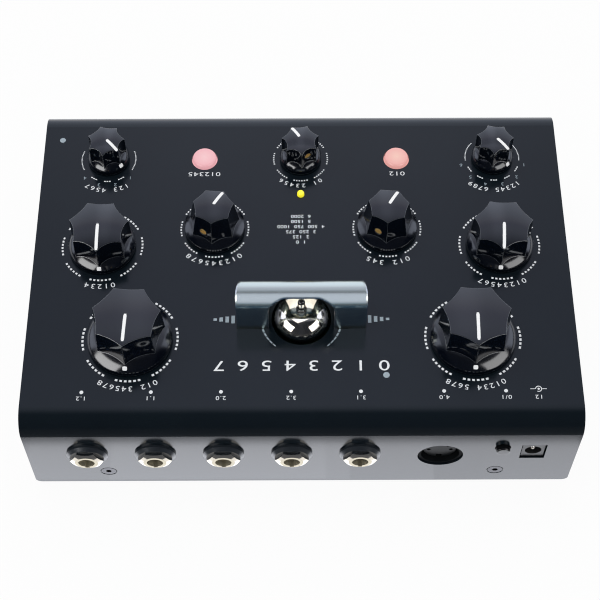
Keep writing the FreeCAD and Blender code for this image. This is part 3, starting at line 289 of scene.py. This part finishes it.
def case_paint():
    """Satin black powder coat with a slight blue cast and a very fine orange peel."""
    material, shader = new_material("case_paint", (0.006, 0.0105, 0.015), 0.16, IOR=1.43)
    tint(material, shader, 35.0, (0.0057, 0.01, 0.0143), (0.0064, 0.011, 0.0157))
    vary(material, shader, "Roughness", 180.0, 0.15, 0.18)
    grain(material, shader, 2600.0, 0.1, 0.04 * MM)
    return material


def knob_plastic():
    """Glossy black plastic: satin on the flat top, and rounded edges with a painted highlight."""
    flat = (0.002, 0.0035, 0.008)
    material, shader = new_material("knob_plastic", flat, 0.06, IOR=1.73)
    # The lighter edge colour is a painted highlight along the rounded edges.
    facing = edges_with_painted_highlight(material, 0.45 * MM, flat, (0.2, 0.215, 0.23))
    upward = axes(material, facing.outputs["Normal"])[2]
    link(material, remap(material, upward, 0.2, 0.95, 0.07, 0.2), shader.inputs["Roughness"])
    return material


def metal(name, color, roughness, spread, scale=400.0, stretch=(1, 1, 1), strength=0.05, metallic=1.0):
    """A metal whose polish varies along its grain."""
    material, shader = new_material(name, color, roughness, metallic)
    vary(material, shader, "Roughness", scale, roughness - spread, roughness + spread, stretch)
    grain(material, shader, scale * 3, strength, GRAIN_DEPTH, stretch)
    return material


def hood_metal():
    """Brushed nickel with a painted highlight on its rounded edges."""
    flat = (0.57, 0.62, 0.57)
    material = metal("brushed_nickel", flat, 0.26, 0.01, 120.0, (1, 5, 5), 0.01)
    # The near-white edge colour is a painted highlight.
    edges_with_painted_highlight(material, 1.5 * MM, flat, (0.95, 0.97, 1.0))
    return material


def plastic(name, color, roughness, strength=0.1):
    """Plastic with a fine grain and an uneven shine."""
    material, shader = new_material(name, color, roughness)
    vary(material, shader, "Roughness", 300.0, roughness - 0.05, roughness + 0.05)
    grain(material, shader, 1500.0, strength, GRAIN_DEPTH)
    return material


def socket_black():
    """Black plastic whose insert shines and whose outer ring is dull."""
    material = plastic("socket_black", (0.01, 0.0115, 0.013), 0.3)
    away = away_from_axis(material, (SOCKET_X * MM, 0.0, SOCKET_Z * MM), (1.0, 0.0, 1.0))
    insert_end = 7.3 * MM
    ring_start = 7.7 * MM
    shine = remap(material, away, insert_end, ring_start, 0.45, 0.03)
    link(material, shine, shader_of(material).inputs["Specular IOR Level"])
    return material


def print_ink(name, color, painted_glow=0.0):
    """Flat ink, a little uneven; a faint painted glow, light that ink does not give, keeps the white ones the
    brightest marks on the unit.
    """
    material, shader = new_material(name, color, 0.55)
    tint(material, shader, 900.0, tuple(0.93 * part for part in color), color)
    # The emission is a painted glow.
    shader.inputs["Emission Color"].default_value = (*color, 1.0)
    shader.inputs["Emission Strength"].default_value = painted_glow
    return material


def lit_cap(name, x, middle, rim):
    """Milky red plastic that glows from below, paler in the middle of its button than at the rim."""
    material, shader = new_material(name, (0.25, 0.14, 0.15), 0.35)
    shader.inputs["Subsurface Weight"].default_value = 0.3
    shader.inputs["Subsurface Radius"].default_value = (2.0 * MM, 0.8 * MM, 0.8 * MM)
    shader.inputs["Emission Strength"].default_value = 1.0
    away = away_from_axis(material, (x * MM, BUTTON_Y * MM, 0.0), (1.0, 1.0, 0.0))
    outward = remap(material, away, 0.0, BUTTON_RADIUS * MM)
    color = color_ramp(material, outward, ((0.0, middle), (1.0, rim)))
    link(material, color, shader.inputs["Emission Color"])
    return material


def lit_lamp():
    """Yellow plastic that glows."""
    material, shader = new_material("lit_lamp", (0.9, 0.75, 0.05), 0.25)
    tint(material, shader, 500.0, (0.88, 0.7, 0.02), (0.95, 0.85, 0.1))
    shader.inputs["Emission Color"].default_value = (1.0, 0.9, 0.03, 1.0)
    shader.inputs["Emission Strength"].default_value = 0.65
    return material


def clear_glass():
    """Clear glass, in places a little less smooth."""
    material, shader = new_material("clear_glass", (0.97, 0.98, 0.98), 0.02, IOR=1.5)
    shader.inputs["Transmission Weight"].default_value = 1.0
    vary(material, shader, "Roughness", 60.0, 0.0, 0.05)
    return material


def board_mask():
    """Green solder mask."""
    material, shader = new_material("board_mask", (0.01, 0.06, 0.03), 0.3)
    tint(material, shader, 120.0, (0.008, 0.05, 0.025), (0.012, 0.07, 0.035))
    return material


def dress(material, *nodes):
    """Give CAD nodes a material."""
    for name in nodes:
        target = frame["nodes"][name]
        target.data.materials.clear()
        target.data.materials.append(material)


def dress_outside():
    """Case, feet, screws, knobs, buttons, lamp, valve glass and hood."""
    dress(case_paint(), "top_cover", "bottom_chassis")
    dress(plastic("foot_rubber", (0.02, 0.02, 0.02), 0.75, 0.4), "rubber_feet")
    dress(metal("black_oxide", (0.05, 0.05, 0.055), 0.35, 0.08), "cover_screws")
    dress(knob_plastic(), *[name + "_knob" for name in KNOBS])
    dress(metal("turned_brass", (0.9, 0.6, 0.2), 0.3, 0.06, metallic=0.6),
          *[name + "_grub_screw" for name in KNOBS])
    dress(lit_cap("lit_cap_bypass", BUTTON_X, (0.71, 0.47, 0.48), (0.68, 0.34, 0.37)), "bypass_button")
    dress(lit_cap("lit_cap_tap", -BUTTON_X, (0.71, 0.47, 0.38), (0.66, 0.31, 0.28)), "tap_button")
    dress(lit_lamp(), "level_lamp")
    dress(clear_glass(), "valve_glass")
    dress(hood_metal(), "valve_hood")


def dress_sockets():
    """Sockets and the power button in the rear face, and the housings behind them."""
    dress(metal("polished_nickel", (0.76, 0.73, 0.68), 0.12, 0.05), "jack_nuts", "power_inlet_pin")
    dress(metal("worn_nickel", (0.6, 0.56, 0.45), 0.32, 0.08, metallic=0.7), "jack_bushes")
    dress(plastic("collar_black", (0.02, 0.026, 0.034), 0.3), "jack_washers")
    dress(socket_black(), "midi_socket")
    dress(plastic("button_black", (0.006, 0.006, 0.007), 0.16), "power_button")
    dress(plastic("black_plastic", (0.012, 0.012, 0.013), 0.4), "jack_housings", "power_inlet",
          "power_switch_body", "button_switches", "board_link")


def dress_inside():
    """What the case and the valve's glass hold."""
    dress(metal("plain_steel", (0.55, 0.55, 0.56), 0.3, 0.08), "potentiometers", "mode_switches",
          "panel_washers", "panel_nuts", "valve_pins", "board_spacers", "board_screws",
          *[name + "_spindle" for name in KNOBS])
    dress(metal("electrode_grey", (0.16, 0.16, 0.17), 0.5, 0.1), "valve_electrodes")
    dress(plastic("ceramic", (0.75, 0.74, 0.7), 0.5), "valve_socket")
    dress(board_mask(), "control_board", "main_board", "valve_board")


# Meshes

def make_piece(name, mesh, material, body):
    """An object of one mesh and one material that moves with a body."""
    mesh.name = name
    mesh.materials.append(material)
    piece = bpy.data.objects.new(name, mesh)
    bpy.context.scene.collection.objects.link(piece)
    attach(piece, body)


def sort_by_place(elements, place):
    """Put elements in an order that is the same in each run, which the mesh operators don't keep."""
    ranks = {element: rank for rank, element in enumerate(sorted(elements, key=place))}
    elements.sort(key=ranks.get)


def to_mesh(work):
    """A mesh of what was built, with its faces looking outwards."""
    mesh = bpy.data.meshes.new("mesh")
    sort_by_place(work.verts, lambda vert: tuple(vert.co))
    sort_by_place(work.edges, lambda edge: tuple(edge.verts[0].co + edge.verts[1].co))
    sort_by_place(work.faces, lambda face: tuple(face.calc_center_median()))
    bmesh.ops.recalc_face_normals(work, faces=work.faces)
    work.to_mesh(mesh)
    work.free()
    return mesh


def on_panel(x, y):
    """A point just above the panel's face, from millimetres."""
    return Vector((x * MM, y * MM, PANEL_TOP + PRINT_GAP))


def polar(x, y, radius, angle):
    """The point at a distance and an angle from another."""
    turn = math.radians(angle)
    return x + radius * math.cos(turn), y + radius * math.sin(turn)


def add_plate(work, corners):
    """Add a thin plate of ink over a closed outline of points."""
    low = [work.verts.new(corner) for corner in corners]
    face = work.faces.new(low)
    raised = bmesh.ops.extrude_face_region(work, geom=[face])
    tops = [item for item in raised["geom"] if isinstance(item, bmesh.types.BMVert)]
    bmesh.ops.translate(work, verts=tops, vec=(0, 0, PRINT_HEIGHT))


def add_bar(work, x, y, half_x, half_y):
    """Add a rectangle about a point."""
    signs = ((-1, -1), (1, -1), (1, 1), (-1, 1))
    add_plate(work, [on_panel(x + sx * half_x, y + sy * half_y) for sx, sy in signs])


def add_dash(work, x, y, radius, angle, length, width):
    """Add a short bar that lies along a ring about a point."""
    half = math.degrees(length / 2 / radius)
    inner = radius - width / 2
    outer = radius + width / 2
    steps = (-half, 0.0, half)
    corners = [on_panel(*polar(x, y, inner, angle + step)) for step in steps]
    corners += [on_panel(*polar(x, y, outer, angle + step)) for step in reversed(steps)]
    add_plate(work, corners)


def add_disc(work, x, y, radius):
    """Add a round dot."""
    steps = 28
    add_plate(work, [on_panel(*polar(x, y, radius, 360.0 * step / steps)) for step in range(steps)])


def add_glyphs(work, text, x, y, height, turn=0.0, stretch=1.25, spacing=1.0):
    """Add flat characters, centred on a point, reading towards the rear of the panel."""
    curve = bpy.data.curves.new("glyphs", "FONT")
    curve.body = text
    curve.align_x = "CENTER"
    curve.align_y = "CENTER"
    curve.size = height * MM / DIGIT_SHARE
    curve.space_character = spacing
    curve.resolution_u = 4
    curve.extrude = PRINT_HEIGHT / 2
    holder = bpy.data.objects.new("glyphs", curve)
    mesh = bpy.data.meshes.new_from_object(holder)
    place = Matrix.Translation(on_panel(x, y) + Vector((0, 0, PRINT_HEIGHT / 2)))
    mesh.transform(place @ Matrix.Rotation(math.radians(turn), 4, "Z") @ Matrix.Diagonal((stretch, 1, 1, 1)))
    work.from_mesh(mesh)
    bpy.data.meshes.remove(mesh)
    bpy.data.objects.remove(holder)
    bpy.data.curves.remove(curve)


def add_arc_glyphs(work, text, x, y, radius, span, height):
    """Add characters one by one along an arc behind a knob, from left to right as seen from the front."""
    step = span / (len(text) - 1)
    for index, glyph in enumerate(text):
        if glyph == " ":
            continue
        angle = 90.0 + span / 2 - index * step
        glyph_x, glyph_y = polar(x, y, radius, angle)
        add_glyphs(work, glyph, glyph_x, glyph_y, height, angle - 90.0)


# Printed marks

def dial_ring(work, x, y, sizes):
    """Seven groups of six dashes over a turn of 300 degrees."""
    group_pitch = 45.0
    dash_pitch = 5.5
    for group in range(7):
        middle = group_pitch * (group - 1)
        for dash in range(6):
            angle = middle + (dash - 2.5) * dash_pitch
            add_dash(work, x, y, sizes["ring"], angle, sizes["dash"], sizes["dash_width"])


def switch_ring(work, x, y, sizes, middles, side_from):
    """Groups of three dashes between a switch's places, and a fine dotted arc on each side."""
    dash_pitch = 5.2
    dash_length = 0.72
    dash_width = 0.5
    dot_pitch = 3.4
    dot_size = 0.42
    for middle in middles:
        for dash in (-1, 0, 1):
            add_dash(work, x, y, sizes["ring"], middle + dash * dash_pitch, dash_length, dash_width)
    for dot in range(15):
        for angle in (side_from - dot_pitch * dot, 180.0 - side_from + dot_pitch * dot):
            add_dash(work, x, y, sizes["ring"], angle, dot_size, dot_size)


def polarity_mark(work, x, y):
    """The standard sign for a barrel inlet: two poles joined to an open ring and a dot."""
    add_disc(work, x, y, 0.45)
    for step in range(14):
        add_dash(work, x, y, 1.15, 70.0 + 300.0 * step / 14, 0.45, 0.3)
    for side in (-1, 1):
        add_bar(work, x + side * 2.25, y, 0.95, 0.12)


def knob_rings(work):
    """The ring of dashes round each knob."""
    for name, (kind, x, y, pointer) in KNOBS.items():
        if name == "filter_mode":
            switch_ring(work, x, y, KINDS[kind], (60.0, 90.0, 120.0), 27.0)
        elif name == "delay_mode":
            switch_ring(work, x, y, KINDS[kind], (30.0, 60.0, 90.0, 120.0, 150.0), 5.0)
        else:
            dial_ring(work, x, y, KINDS[kind])


def scale_numbers(work):
    """Numbers behind the knobs and the lit buttons."""
    for name, (text, radius, span, height) in SCALES.items():
        kind, x, y, pointer = KNOBS[name]
        add_arc_glyphs(work, text, x, y, radius, span, height)
    for text, x in (("012345", BUTTON_X), ("012", -BUTTON_X)):
        add_glyphs(work, text, x, BUTTON_Y + 7.7, 2.0, stretch=1.5, spacing=1.1)


def list_numbers(work):
    """The rows of small numbers in the middle of the panel."""
    first_y = -7.9
    pitch = 2.55
    for index, text in enumerate(LIST_ROWS):
        add_glyphs(work, text, 0.0, first_y - pitch * index, 1.55)


def rear_numbers(work):
    """A number and a dot for each socket, and the inlet's number and sign."""
    height = 1.7
    for text, x in SOCKET_NUMBERS:
        add_glyphs(work, text, x, SOCKET_NUMBERS_Y, height, spacing=1.15)
        add_disc(work, x, SOCKET_NUMBERS_Y - 2.6, 0.75)
    add_glyphs(work, "12", INLET_X, SOCKET_NUMBERS_Y, height, spacing=1.15)
    polarity_mark(work, INLET_X, SOCKET_NUMBERS_Y - 3.4)


def large_numbers(work):
    """The row of large numbers behind the hood."""
    first_x = -32.6
    pitch = 9.3
    for index, text in enumerate("01234567"):
        add_glyphs(work, text, first_x + pitch * index, 49.8, 4.6, stretch=1.45)


def white_print(ink):
    """Rings of dashes, numbers and marks in white ink."""
    work = bmesh.new()
    knob_rings(work)
    scale_numbers(work)
    list_numbers(work)
    rear_numbers(work)
    large_numbers(work)
    make_piece("white_print", to_mesh(work), ink, "case")


def place_numbers(work):
    """A number at each place of the two mode switches."""
    pitch = 30.0
    for name, places, radius, first in (("filter_mode", 4, 13.6, 135.0), ("delay_mode", 6, 13.9, 165.0)):
        kind, x, y, pointer = KNOBS[name]
        for index in range(places):
            glyph_x, glyph_y = polar(x, y, radius, first - pitch * index)
            add_glyphs(work, str(index + 1), glyph_x, glyph_y, 1.5)


def hood_marks(work):
    """On each side of the hood, bars that shrink away from it and an arc of dashes behind the valve."""
    bars_y = 29.0
    arc_radius = 16.2
    for side in (-1, 1):
        for bar in range(4):
            add_bar(work, side * (27.4 + 2.4 * bar), bars_y, 0.7, 1.75 - 0.4 * bar)
        for dash in range(5):
            angle = 90.0 + side * (42.0 + 7.0 * dash)
            add_dash(work, 0.0, VALVE_Y, arc_radius, angle, 1.5, 0.4 + 0.1 * dash)


def pale_print(ink):
    """Numbers at the switches' places, two dots and plain marks beside the hood, in grey-blue ink."""
    work = bmesh.new()
    place_numbers(work)
    add_disc(work, 102.5, -60.4, 1.25)
    add_disc(work, -33.3, 54.35, 1.3)
    hood_marks(work)
    make_piece("pale_print", to_mesh(work), ink, "case")


# Marks on the knobs

def dome_height(sizes, radius):
    """Height of a knob's domed top above the panel, at a distance from its axis."""
    chord = sizes["top_radius"]
    crown = sizes["crown"]
    dome = (chord * chord + crown * crown) / (2 * crown)
    return sizes["top"] + crown - dome + math.sqrt(dome * dome - radius * radius)


def add_pointer(work, sizes):
    """The white line that lies in the groove of a knob's domed top, with narrower ends."""
    steps = 10
    rows = []
    for step in range(steps + 1):
        radius = sizes["start"] + (sizes["end"] - sizes["start"]) * step / steps
        half = POINTER_WIDTH / 2
        if step in (0, steps):
            half *= 0.6
        height = dome_height(sizes, radius) - GROOVE_DEPTH
        rows.append([work.verts.new((radius, side * half, height)) for side in (-1, 1)])
    for low, high in zip(rows, rows[1:]):
        work.faces.new((low[0], high[0], high[1], low[1]))


def add_skirt_mark(work, sizes):
    """A small square with round corners that lies on a knob's sloping skirt, below the pointer."""
    above = 0.05
    half_up = 0.85
    half_side = 0.92
    corner = 0.12
    bend = sizes["shoulder"]
    lip = math.radians(sizes["lip"])
    centre = sizes["skirt"] - bend * math.sin(lip)
    level = sizes["rim"] - bend * math.cos(lip)
    middle = math.asin((sizes["dot"] - centre) / bend)
    grid = []
    for row in range(7):
        line = []
        for column in range(7):
            along = (row - 3) / 3
            across = (column - 3) / 3
            tuck = 1.0 - corner * along * along * across * across
            slope = middle + half_up * tuck * along / bend
            side = half_side * tuck * across
            radius = centre + (bend + above) * math.sin(slope)
            height = level + (bend + above) * math.cos(slope)
            line.append(work.verts.new((math.sqrt(radius * radius - side * side), side, height)))
        grid.append(line)
    for low, high in zip(grid, grid[1:]):
        for column in range(6):
            work.faces.new((low[column], low[column + 1], high[column + 1], high[column]))


def knob_marks(name, ink):
    """The white line on a knob's top, and the dot on its skirt if it has one."""
    kind, x, y, pointer = KNOBS[name]
    sizes = KINDS[kind]
    work = bmesh.new()
    add_pointer(work, sizes)
    if "dot" in sizes:
        add_skirt_mark(work, sizes)
    turn = Matrix.Rotation(math.radians(pointer), 4, "Z")
    place = Matrix.Translation((x * MM, y * MM, PANEL_TOP)) @ turn
    bmesh.ops.transform(work, verts=work.verts, matrix=place @ Matrix.Scale(MM, 4))
    make_piece(name + "_marks", to_mesh(work), ink, name + "_control")


# Valve

def valve_mirror():
    """The silvery film inside the valve's dome: a round shoulder, and a short straight wall below it."""
    shoulder_middle = 2.9
    shoulder_drop = 0.2
    shoulder = 7.28
    rise = 7.25
    wall = 10.18
    profile = [(0.05, rise - shoulder_drop)]
    for step in range(9):
        turn = math.radians(90.0 - 10.0 * step)
        profile.append((shoulder_middle + shoulder * math.cos(turn), rise * math.sin(turn) - shoulder_drop))
    profile.append((wall, -1.6))
    profile.append((wall, -3.8))
    work = bmesh.new()
    points = [work.verts.new((radius * MM, 0, height * MM)) for radius, height in profile]
    edges = [work.edges.new(pair) for pair in zip(points, points[1:])]
    bmesh.ops.spin(work, geom=points + edges, cent=(0, 0, 0), axis=(0, 0, 1), angle=2 * math.pi, steps=64,
                   use_duplicate=False)
    bmesh.ops.remove_doubles(work, verts=work.verts, dist=0.001 * MM)
    bmesh.ops.translate(work, verts=work.verts, vec=(0, VALVE_Y * MM, PANEL_TOP))
    mesh = to_mesh(work)
    for face in mesh.polygons:
        face.use_smooth = True
    film = metal("getter_mirror", (0.86, 0.79, 0.69), 0.06, 0.03, 200.0)
    make_piece("valve_mirror", mesh, film, "case")


# Light

def soft_lamp(name, place, target, size_x, size_y, radiance, color=(1.0, 1.0, 1.0), in_gloss=False):
    """A rectangular lamp of even radiance that lights matt surfaces; its places and sizes are in metres."""
    light = bpy.data.lights.new(name, "AREA")
    light.shape = "RECTANGLE"
    light.size = size_x
    light.size_y = size_y
    light.energy = radiance * math.pi * size_x * size_y
    light.color = color
    lamp = bpy.data.objects.new(name, light)
    lamp.location = place
    lamp.rotation_euler = (Vector(target) - Vector(place)).to_track_quat("-Z", "Y").to_euler()
    lamp.visible_camera = False
    lamp.visible_glossy = in_gloss
    bpy.context.scene.collection.objects.link(lamp)
    return lamp


def gloss_card(name, place, target, size_x, size_y, radiance, color=(1.0, 1.0, 1.0)):
    """A lamp that is seen in glossy surfaces alone."""
    card = soft_lamp(name, place, target, size_x, size_y, radiance, color, in_gloss=True)
    card.visible_diffuse = False
    return card


def only_for(lamp, *names):
    """Let a lamp reach some CAD nodes and pieces alone."""
    receivers = bpy.data.collections.new(lamp.name + "_receivers")
    for name in names:
        receivers.objects.link(frame["nodes"].get(name) or bpy.data.objects[name])
    lamp.light_linking.receiver_collection = receivers


def not_for(lamp, *names):
    """Let a lamp reach everything but some CAD nodes."""
    only_for(lamp, *names)
    for member in lamp.light_linking.receiver_collection.collection_objects:
        member.light_linking.link_state = "EXCLUDE"


def lights():
    """A soft lamp overhead for matt surfaces, cards at the sides for gloss, and lamps for single pieces."""
    soft_lamp("top_box", (0.15, -0.2, 1.1), (0, 0, 0.05), 0.9, 0.9, 1.6)
    for name, side, radiance in (("left_card", 1, 5.4), ("right_card", -1, 3.4)):
        side_card(name, side, radiance)
    front_box = gloss_card("front_box", (0, -0.05, 0.4), (0, -0.05, 0), 0.6, 0.16, 0.39, (0.97, 1.0, 1.25))
    only_for(front_box, "filter_mode_knob", "input_level_knob", "delay_mode_knob")
    brass_lamp = soft_lamp("brass_lamp", (0, 0.5, 0.45), (0, 0, 0.06), 0.5, 0.4, 2.4)
    only_for(brass_lamp, *[name + "_grub_screw" for name in KNOBS])
    hood_lights()
    valve_lights()
    rear_lights()


def side_card(name, side, radiance):
    """A card at the rear corner of one side, for all but the case, the medium knobs and the far knobs."""
    card = gloss_card(name, (side * 0.25, 0.17, 0.17), (side * 0.07, 0.03, 0.06), 0.24, 0.19, radiance)
    without = ["top_cover", "bottom_chassis"]
    for knob, (kind, x, y, pointer) in KNOBS.items():
        if x * side < 0 or kind == "medium":
            without.append(knob + "_knob")
    not_for(card, *without)


def hood_lights():
    """Lamps for the hood alone: a large one behind it, and low ones where its shine fades to a blue foot."""
    foot = PANEL_TOP + 1.0 * MM
    # Each lamp: its name, place, target, width, height, radiance and colour
    lamps = (
        ("hood_upper", (0, 0.327, 0.338), (0, 0.03, 0.07), 0.5, 0.56, 0.72, (0.95, 1.0, 1.24)),
        ("hood_middle", (0, 0.5, 0.089), (0, 0.03, 0.089), 0.5, 0.078, 0.47, (0.93, 1.0, 1.24)),
        ("hood_lower", (0, 0.5, 0.027), (0, 0.03, 0.027), 0.5, 0.046, 0.36, (0.6, 1.0, 1.4)),
        ("hood_far_foot", (0, 0.062, foot), (0, 0.062, 1.0), 0.16, 0.032, 0.06, (0.2, 0.85, 1.65)),
        ("hood_near_foot", (0, 0.04, foot), (0, 0.04, 1.0), 0.16, 0.012, 0.011, (0.1, 0.5, 1.5)),
    )
    for lamp in lamps:
        only_for(gloss_card(*lamp), "valve_hood")


def valve_lights():
    """Two small cards along the inside of the hood, which the valve's dome mirrors beside its tip."""
    lean = math.radians(68.0)
    facing = Vector((0.0, math.sin(lean), -math.cos(lean)))
    for side in (-1, 1):
        place = Vector((side * 5.2 * MM, 20.7 * MM, PANEL_TOP + 10.0 * MM))
        card = gloss_card("valve_card", place, place + facing, 7.6 * MM, 11.5 * MM, 1.1, (1.0, 0.97, 0.9))
        only_for(card, "valve_glass", "valve_mirror")


def rear_lights():
    """Bright strips on the floor behind the unit, for its rear face and for the metal of its sockets."""
    # Each strip: its ends in X, its radiance and its height. They overlap to grade the light from side to
    # side, so no two lie at one height.
    strips = (
        (-0.118, 0.3, 1.8, 0.0008),
        (-0.055, 0.115, 0.26, 0.0016),
        (-0.02, 0.08, 0.24, 0.0024),
        (-0.01, 0.3, 0.2, 0.0032),
    )
    strip_y = 0.0862
    strip_depth = 0.018
    for start, end, radiance, height in strips:
        middle = (start + end) / 2
        strip = soft_lamp("rear_strip", (middle, strip_y, height), (middle, strip_y, 1.0), end - start,
                          strip_depth, radiance, (0.96, 0.98, 1.05), in_gloss=True)
        only_for(strip, "top_cover", "bottom_chassis", "cover_screws", "power_inlet", "jack_washers",
                 "power_button")
    nut_strip = gloss_card("nut_strip", (0, 0.098, 0.004), (0, 0.098, 1.0), 0.4, 0.042, 0.98,
                           (1.0, 0.97, 0.92))
    only_for(nut_strip, "jack_nuts", "jack_bushes", "power_inlet_pin")


# World, floor and camera

def background(sky, color, strength):
    """A sky shader; its colour and its strength are values or sockets."""
    node = add_node(sky, "ShaderNodeBackground")
    for name, value in (("Color", color), ("Strength", strength)):
        if isinstance(value, bpy.types.NodeSocket):
            link(sky, value, node.inputs[name])
        else:
            node.inputs[name].default_value = value
    return node.outputs["Background"]


def mirrored_room(sky):
    """What glossy surfaces mirror: a box in front that fades over the unit to a dim rear, and pale sides."""
    box_strength = 1.6
    side_strength = 1.3
    directions = add_node(sky, "ShaderNodeTexCoord").outputs["Generated"]
    x, y, z = axes(sky, directions)
    sideways = calculate(sky, "ABSOLUTE", x)
    # A direction's lean from straight up to the rear, as a share of the way between the two ends in degrees
    forward_end = -90.0
    rear_end = 20.0
    lean = calculate(sky, "ARCTAN2", y, z)
    reach = remap(sky, lean, math.radians(forward_end), math.radians(rear_end))
    stops = (
        (-90.0, (0.73, 0.79, 0.94)),
        (-60.0, (0.7, 0.76, 0.91)),
        (-44.0, (0.61, 0.65, 0.78)),
        (-38.0, (0.565, 0.575, 0.68)),
        (-30.5, (0.385, 0.4, 0.52)),
        (-22.0, (0.43, 0.46, 0.56)),
        (-16.0, (0.4, 0.43, 0.53)),
        (-6.0, (0.26, 0.28, 0.34)),
        (4.0, (0.12, 0.13, 0.16)),
        (14.0, (0.02, 0.022, 0.028)),
    )
    span = rear_end - forward_end
    box = color_ramp(sky, reach, [((degrees - forward_end) / span, color) for degrees, color in stops])
    dimmer = calculate(sky, "MULTIPLY", smooth_step(sky, sideways, 0.05, 0.22), 0.25)
    inward = calculate(sky, "SUBTRACT", 1.0, dimmer)
    inward = calculate(sky, "MULTIPLY", inward, smooth_step(sky, sideways, 0.8, 0.7))
    over = background(sky, box, calculate(sky, "MULTIPLY", inward, box_strength))
    sides = calculate(sky, "MULTIPLY", smooth_step(sky, sideways, 0.74, 0.8), smooth_step(sky, z, 0.05, 0.12))
    sides = calculate(sky, "MULTIPLY", sides, smooth_step(sky, y, 0.0, -0.12))
    beside = background(sky, (0.92, 1.0, 1.2, 1.0), calculate(sky, "MULTIPLY", sides, side_strength))
    room = add_node(sky, "ShaderNodeAddShader")
    link(sky, over, room.inputs[0])
    link(sky, beside, room.inputs[1])
    return room.outputs["Shader"]


def world():
    """White to the camera, even for matt surfaces, and a lit room for glossy ones."""
    sky = bpy.data.worlds.new("studio")
    bpy.context.scene.world = sky
    sky.use_nodes = True
    sky.node_tree.nodes.clear()
    matt = background(sky, (0.96, 0.98, 1.0, 1.0), 0.55)
    white = background(sky, (1.0, 1.0, 1.0, 1.0), 1.0)
    path = add_node(sky, "ShaderNodeLightPath").outputs
    mirrored = calculate(sky, "MAXIMUM", path["Is Glossy Ray"], path["Is Transmission Ray"])
    unseen = mix_shaders(sky, mirrored, matt, mirrored_room(sky))
    surface = mix_shaders(sky, path["Is Camera Ray"], unseen, white)
    link(sky, surface, add_node(sky, "ShaderNodeOutputWorld").inputs["Surface"])


def floor_white():
    """White to the camera but for the unit's shadow; reflections see it bright in front and dim behind."""
    material, shader = new_material("floor_white", (0.95, 0.95, 0.95), 0.9)
    # How bright reflections see the floor, at shares of the way from 1 m in front to 1 m behind
    rearward = remap(material, axes(material, object_space(material))[1], -1.0, 1.0)
    levels = ((0.4, 0.75), (0.5, 0.5), (0.548, 0.5), (0.551, 0.07), (0.9, 0.04))
    shade = color_ramp(material, rearward, [(place, (level, level, level)) for place, level in levels])
    mirrored_strength = 1.6
    mirrored = add_node(material, "ShaderNodeEmission", Color=(0.97, 0.99, 1.05, 1))
    link(material, calculate(material, "MULTIPLY", shade, mirrored_strength), mirrored.inputs["Strength"])
    seen = add_node(material, "ShaderNodeEmission", Color=(1, 1, 1, 1))
    path = add_node(material, "ShaderNodeLightPath").outputs
    white_share = 0.95
    share = calculate(material, "MULTIPLY", path["Is Camera Ray"], white_share)
    gloss = calculate(material, "MAXIMUM", path["Is Glossy Ray"], path["Is Transmission Ray"])
    to_camera = mix_shaders(material, share, shader.outputs["BSDF"], seen.outputs["Emission"])
    surface = mix_shaders(material, gloss, to_camera, mirrored.outputs["Emission"])
    link(material, surface, material.node_tree.nodes["Material Output"].inputs["Surface"])
    return material


def floor():
    """A wide plane that the unit stands on."""
    mesh = bpy.data.meshes.new("floor")
    reach = 4.0
    corners = [(-reach, -reach, 0), (reach, -reach, 0), (reach, reach, 0), (-reach, reach, 0)]
    mesh.from_pydata(corners, [], [(0, 1, 2, 3)])
    mesh.materials.append(floor_white())
    plane = bpy.data.objects.new("floor", mesh)
    bpy.context.scene.collection.objects.link(plane)


def camera():
    """The camera of the photograph: behind the unit and above it."""
    focal_pixels = 1495.9
    photo_width = 600.0
    elevation = math.radians(59.51)
    yaw = math.radians(-0.255)
    lens = bpy.data.cameras.new("camera")
    lens.sensor_width = 36.0
    lens.lens = focal_pixels / photo_width * lens.sensor_width
    lens.clip_start = 0.01
    view = bpy.data.objects.new("camera", lens)
    ahead = Vector((
        math.sin(yaw) * math.cos(elevation),
        -math.cos(yaw) * math.cos(elevation),
        -math.sin(elevation),
    ))
    view.location = (1.89 * MM, 327.1 * MM, 576.07 * MM)
    view.rotation_euler = ahead.to_track_quat("-Z", "Y").to_euler()
    bpy.context.scene.collection.objects.link(view)
    bpy.context.scene.camera = view


camera()
world()
floor()
dress_outside()
dress_sockets()
dress_inside()
# The last value given to each white ink is its painted glow.
white_print(print_ink("white_ink", (0.86, 0.88, 0.9), 0.15))
pale_print(print_ink("pale_ink", (0.42, 0.5, 0.56)))
white_fill = print_ink("white_fill", (0.9, 0.9, 0.9), 0.25)
for knob_name in KNOBS:
    knob_marks(knob_name, white_fill)
valve_mirror()
lights()

bpy.context.scene.cycles.filter_width = 1.1
bpy.context.scene.view_settings.view_transform = "Standard"
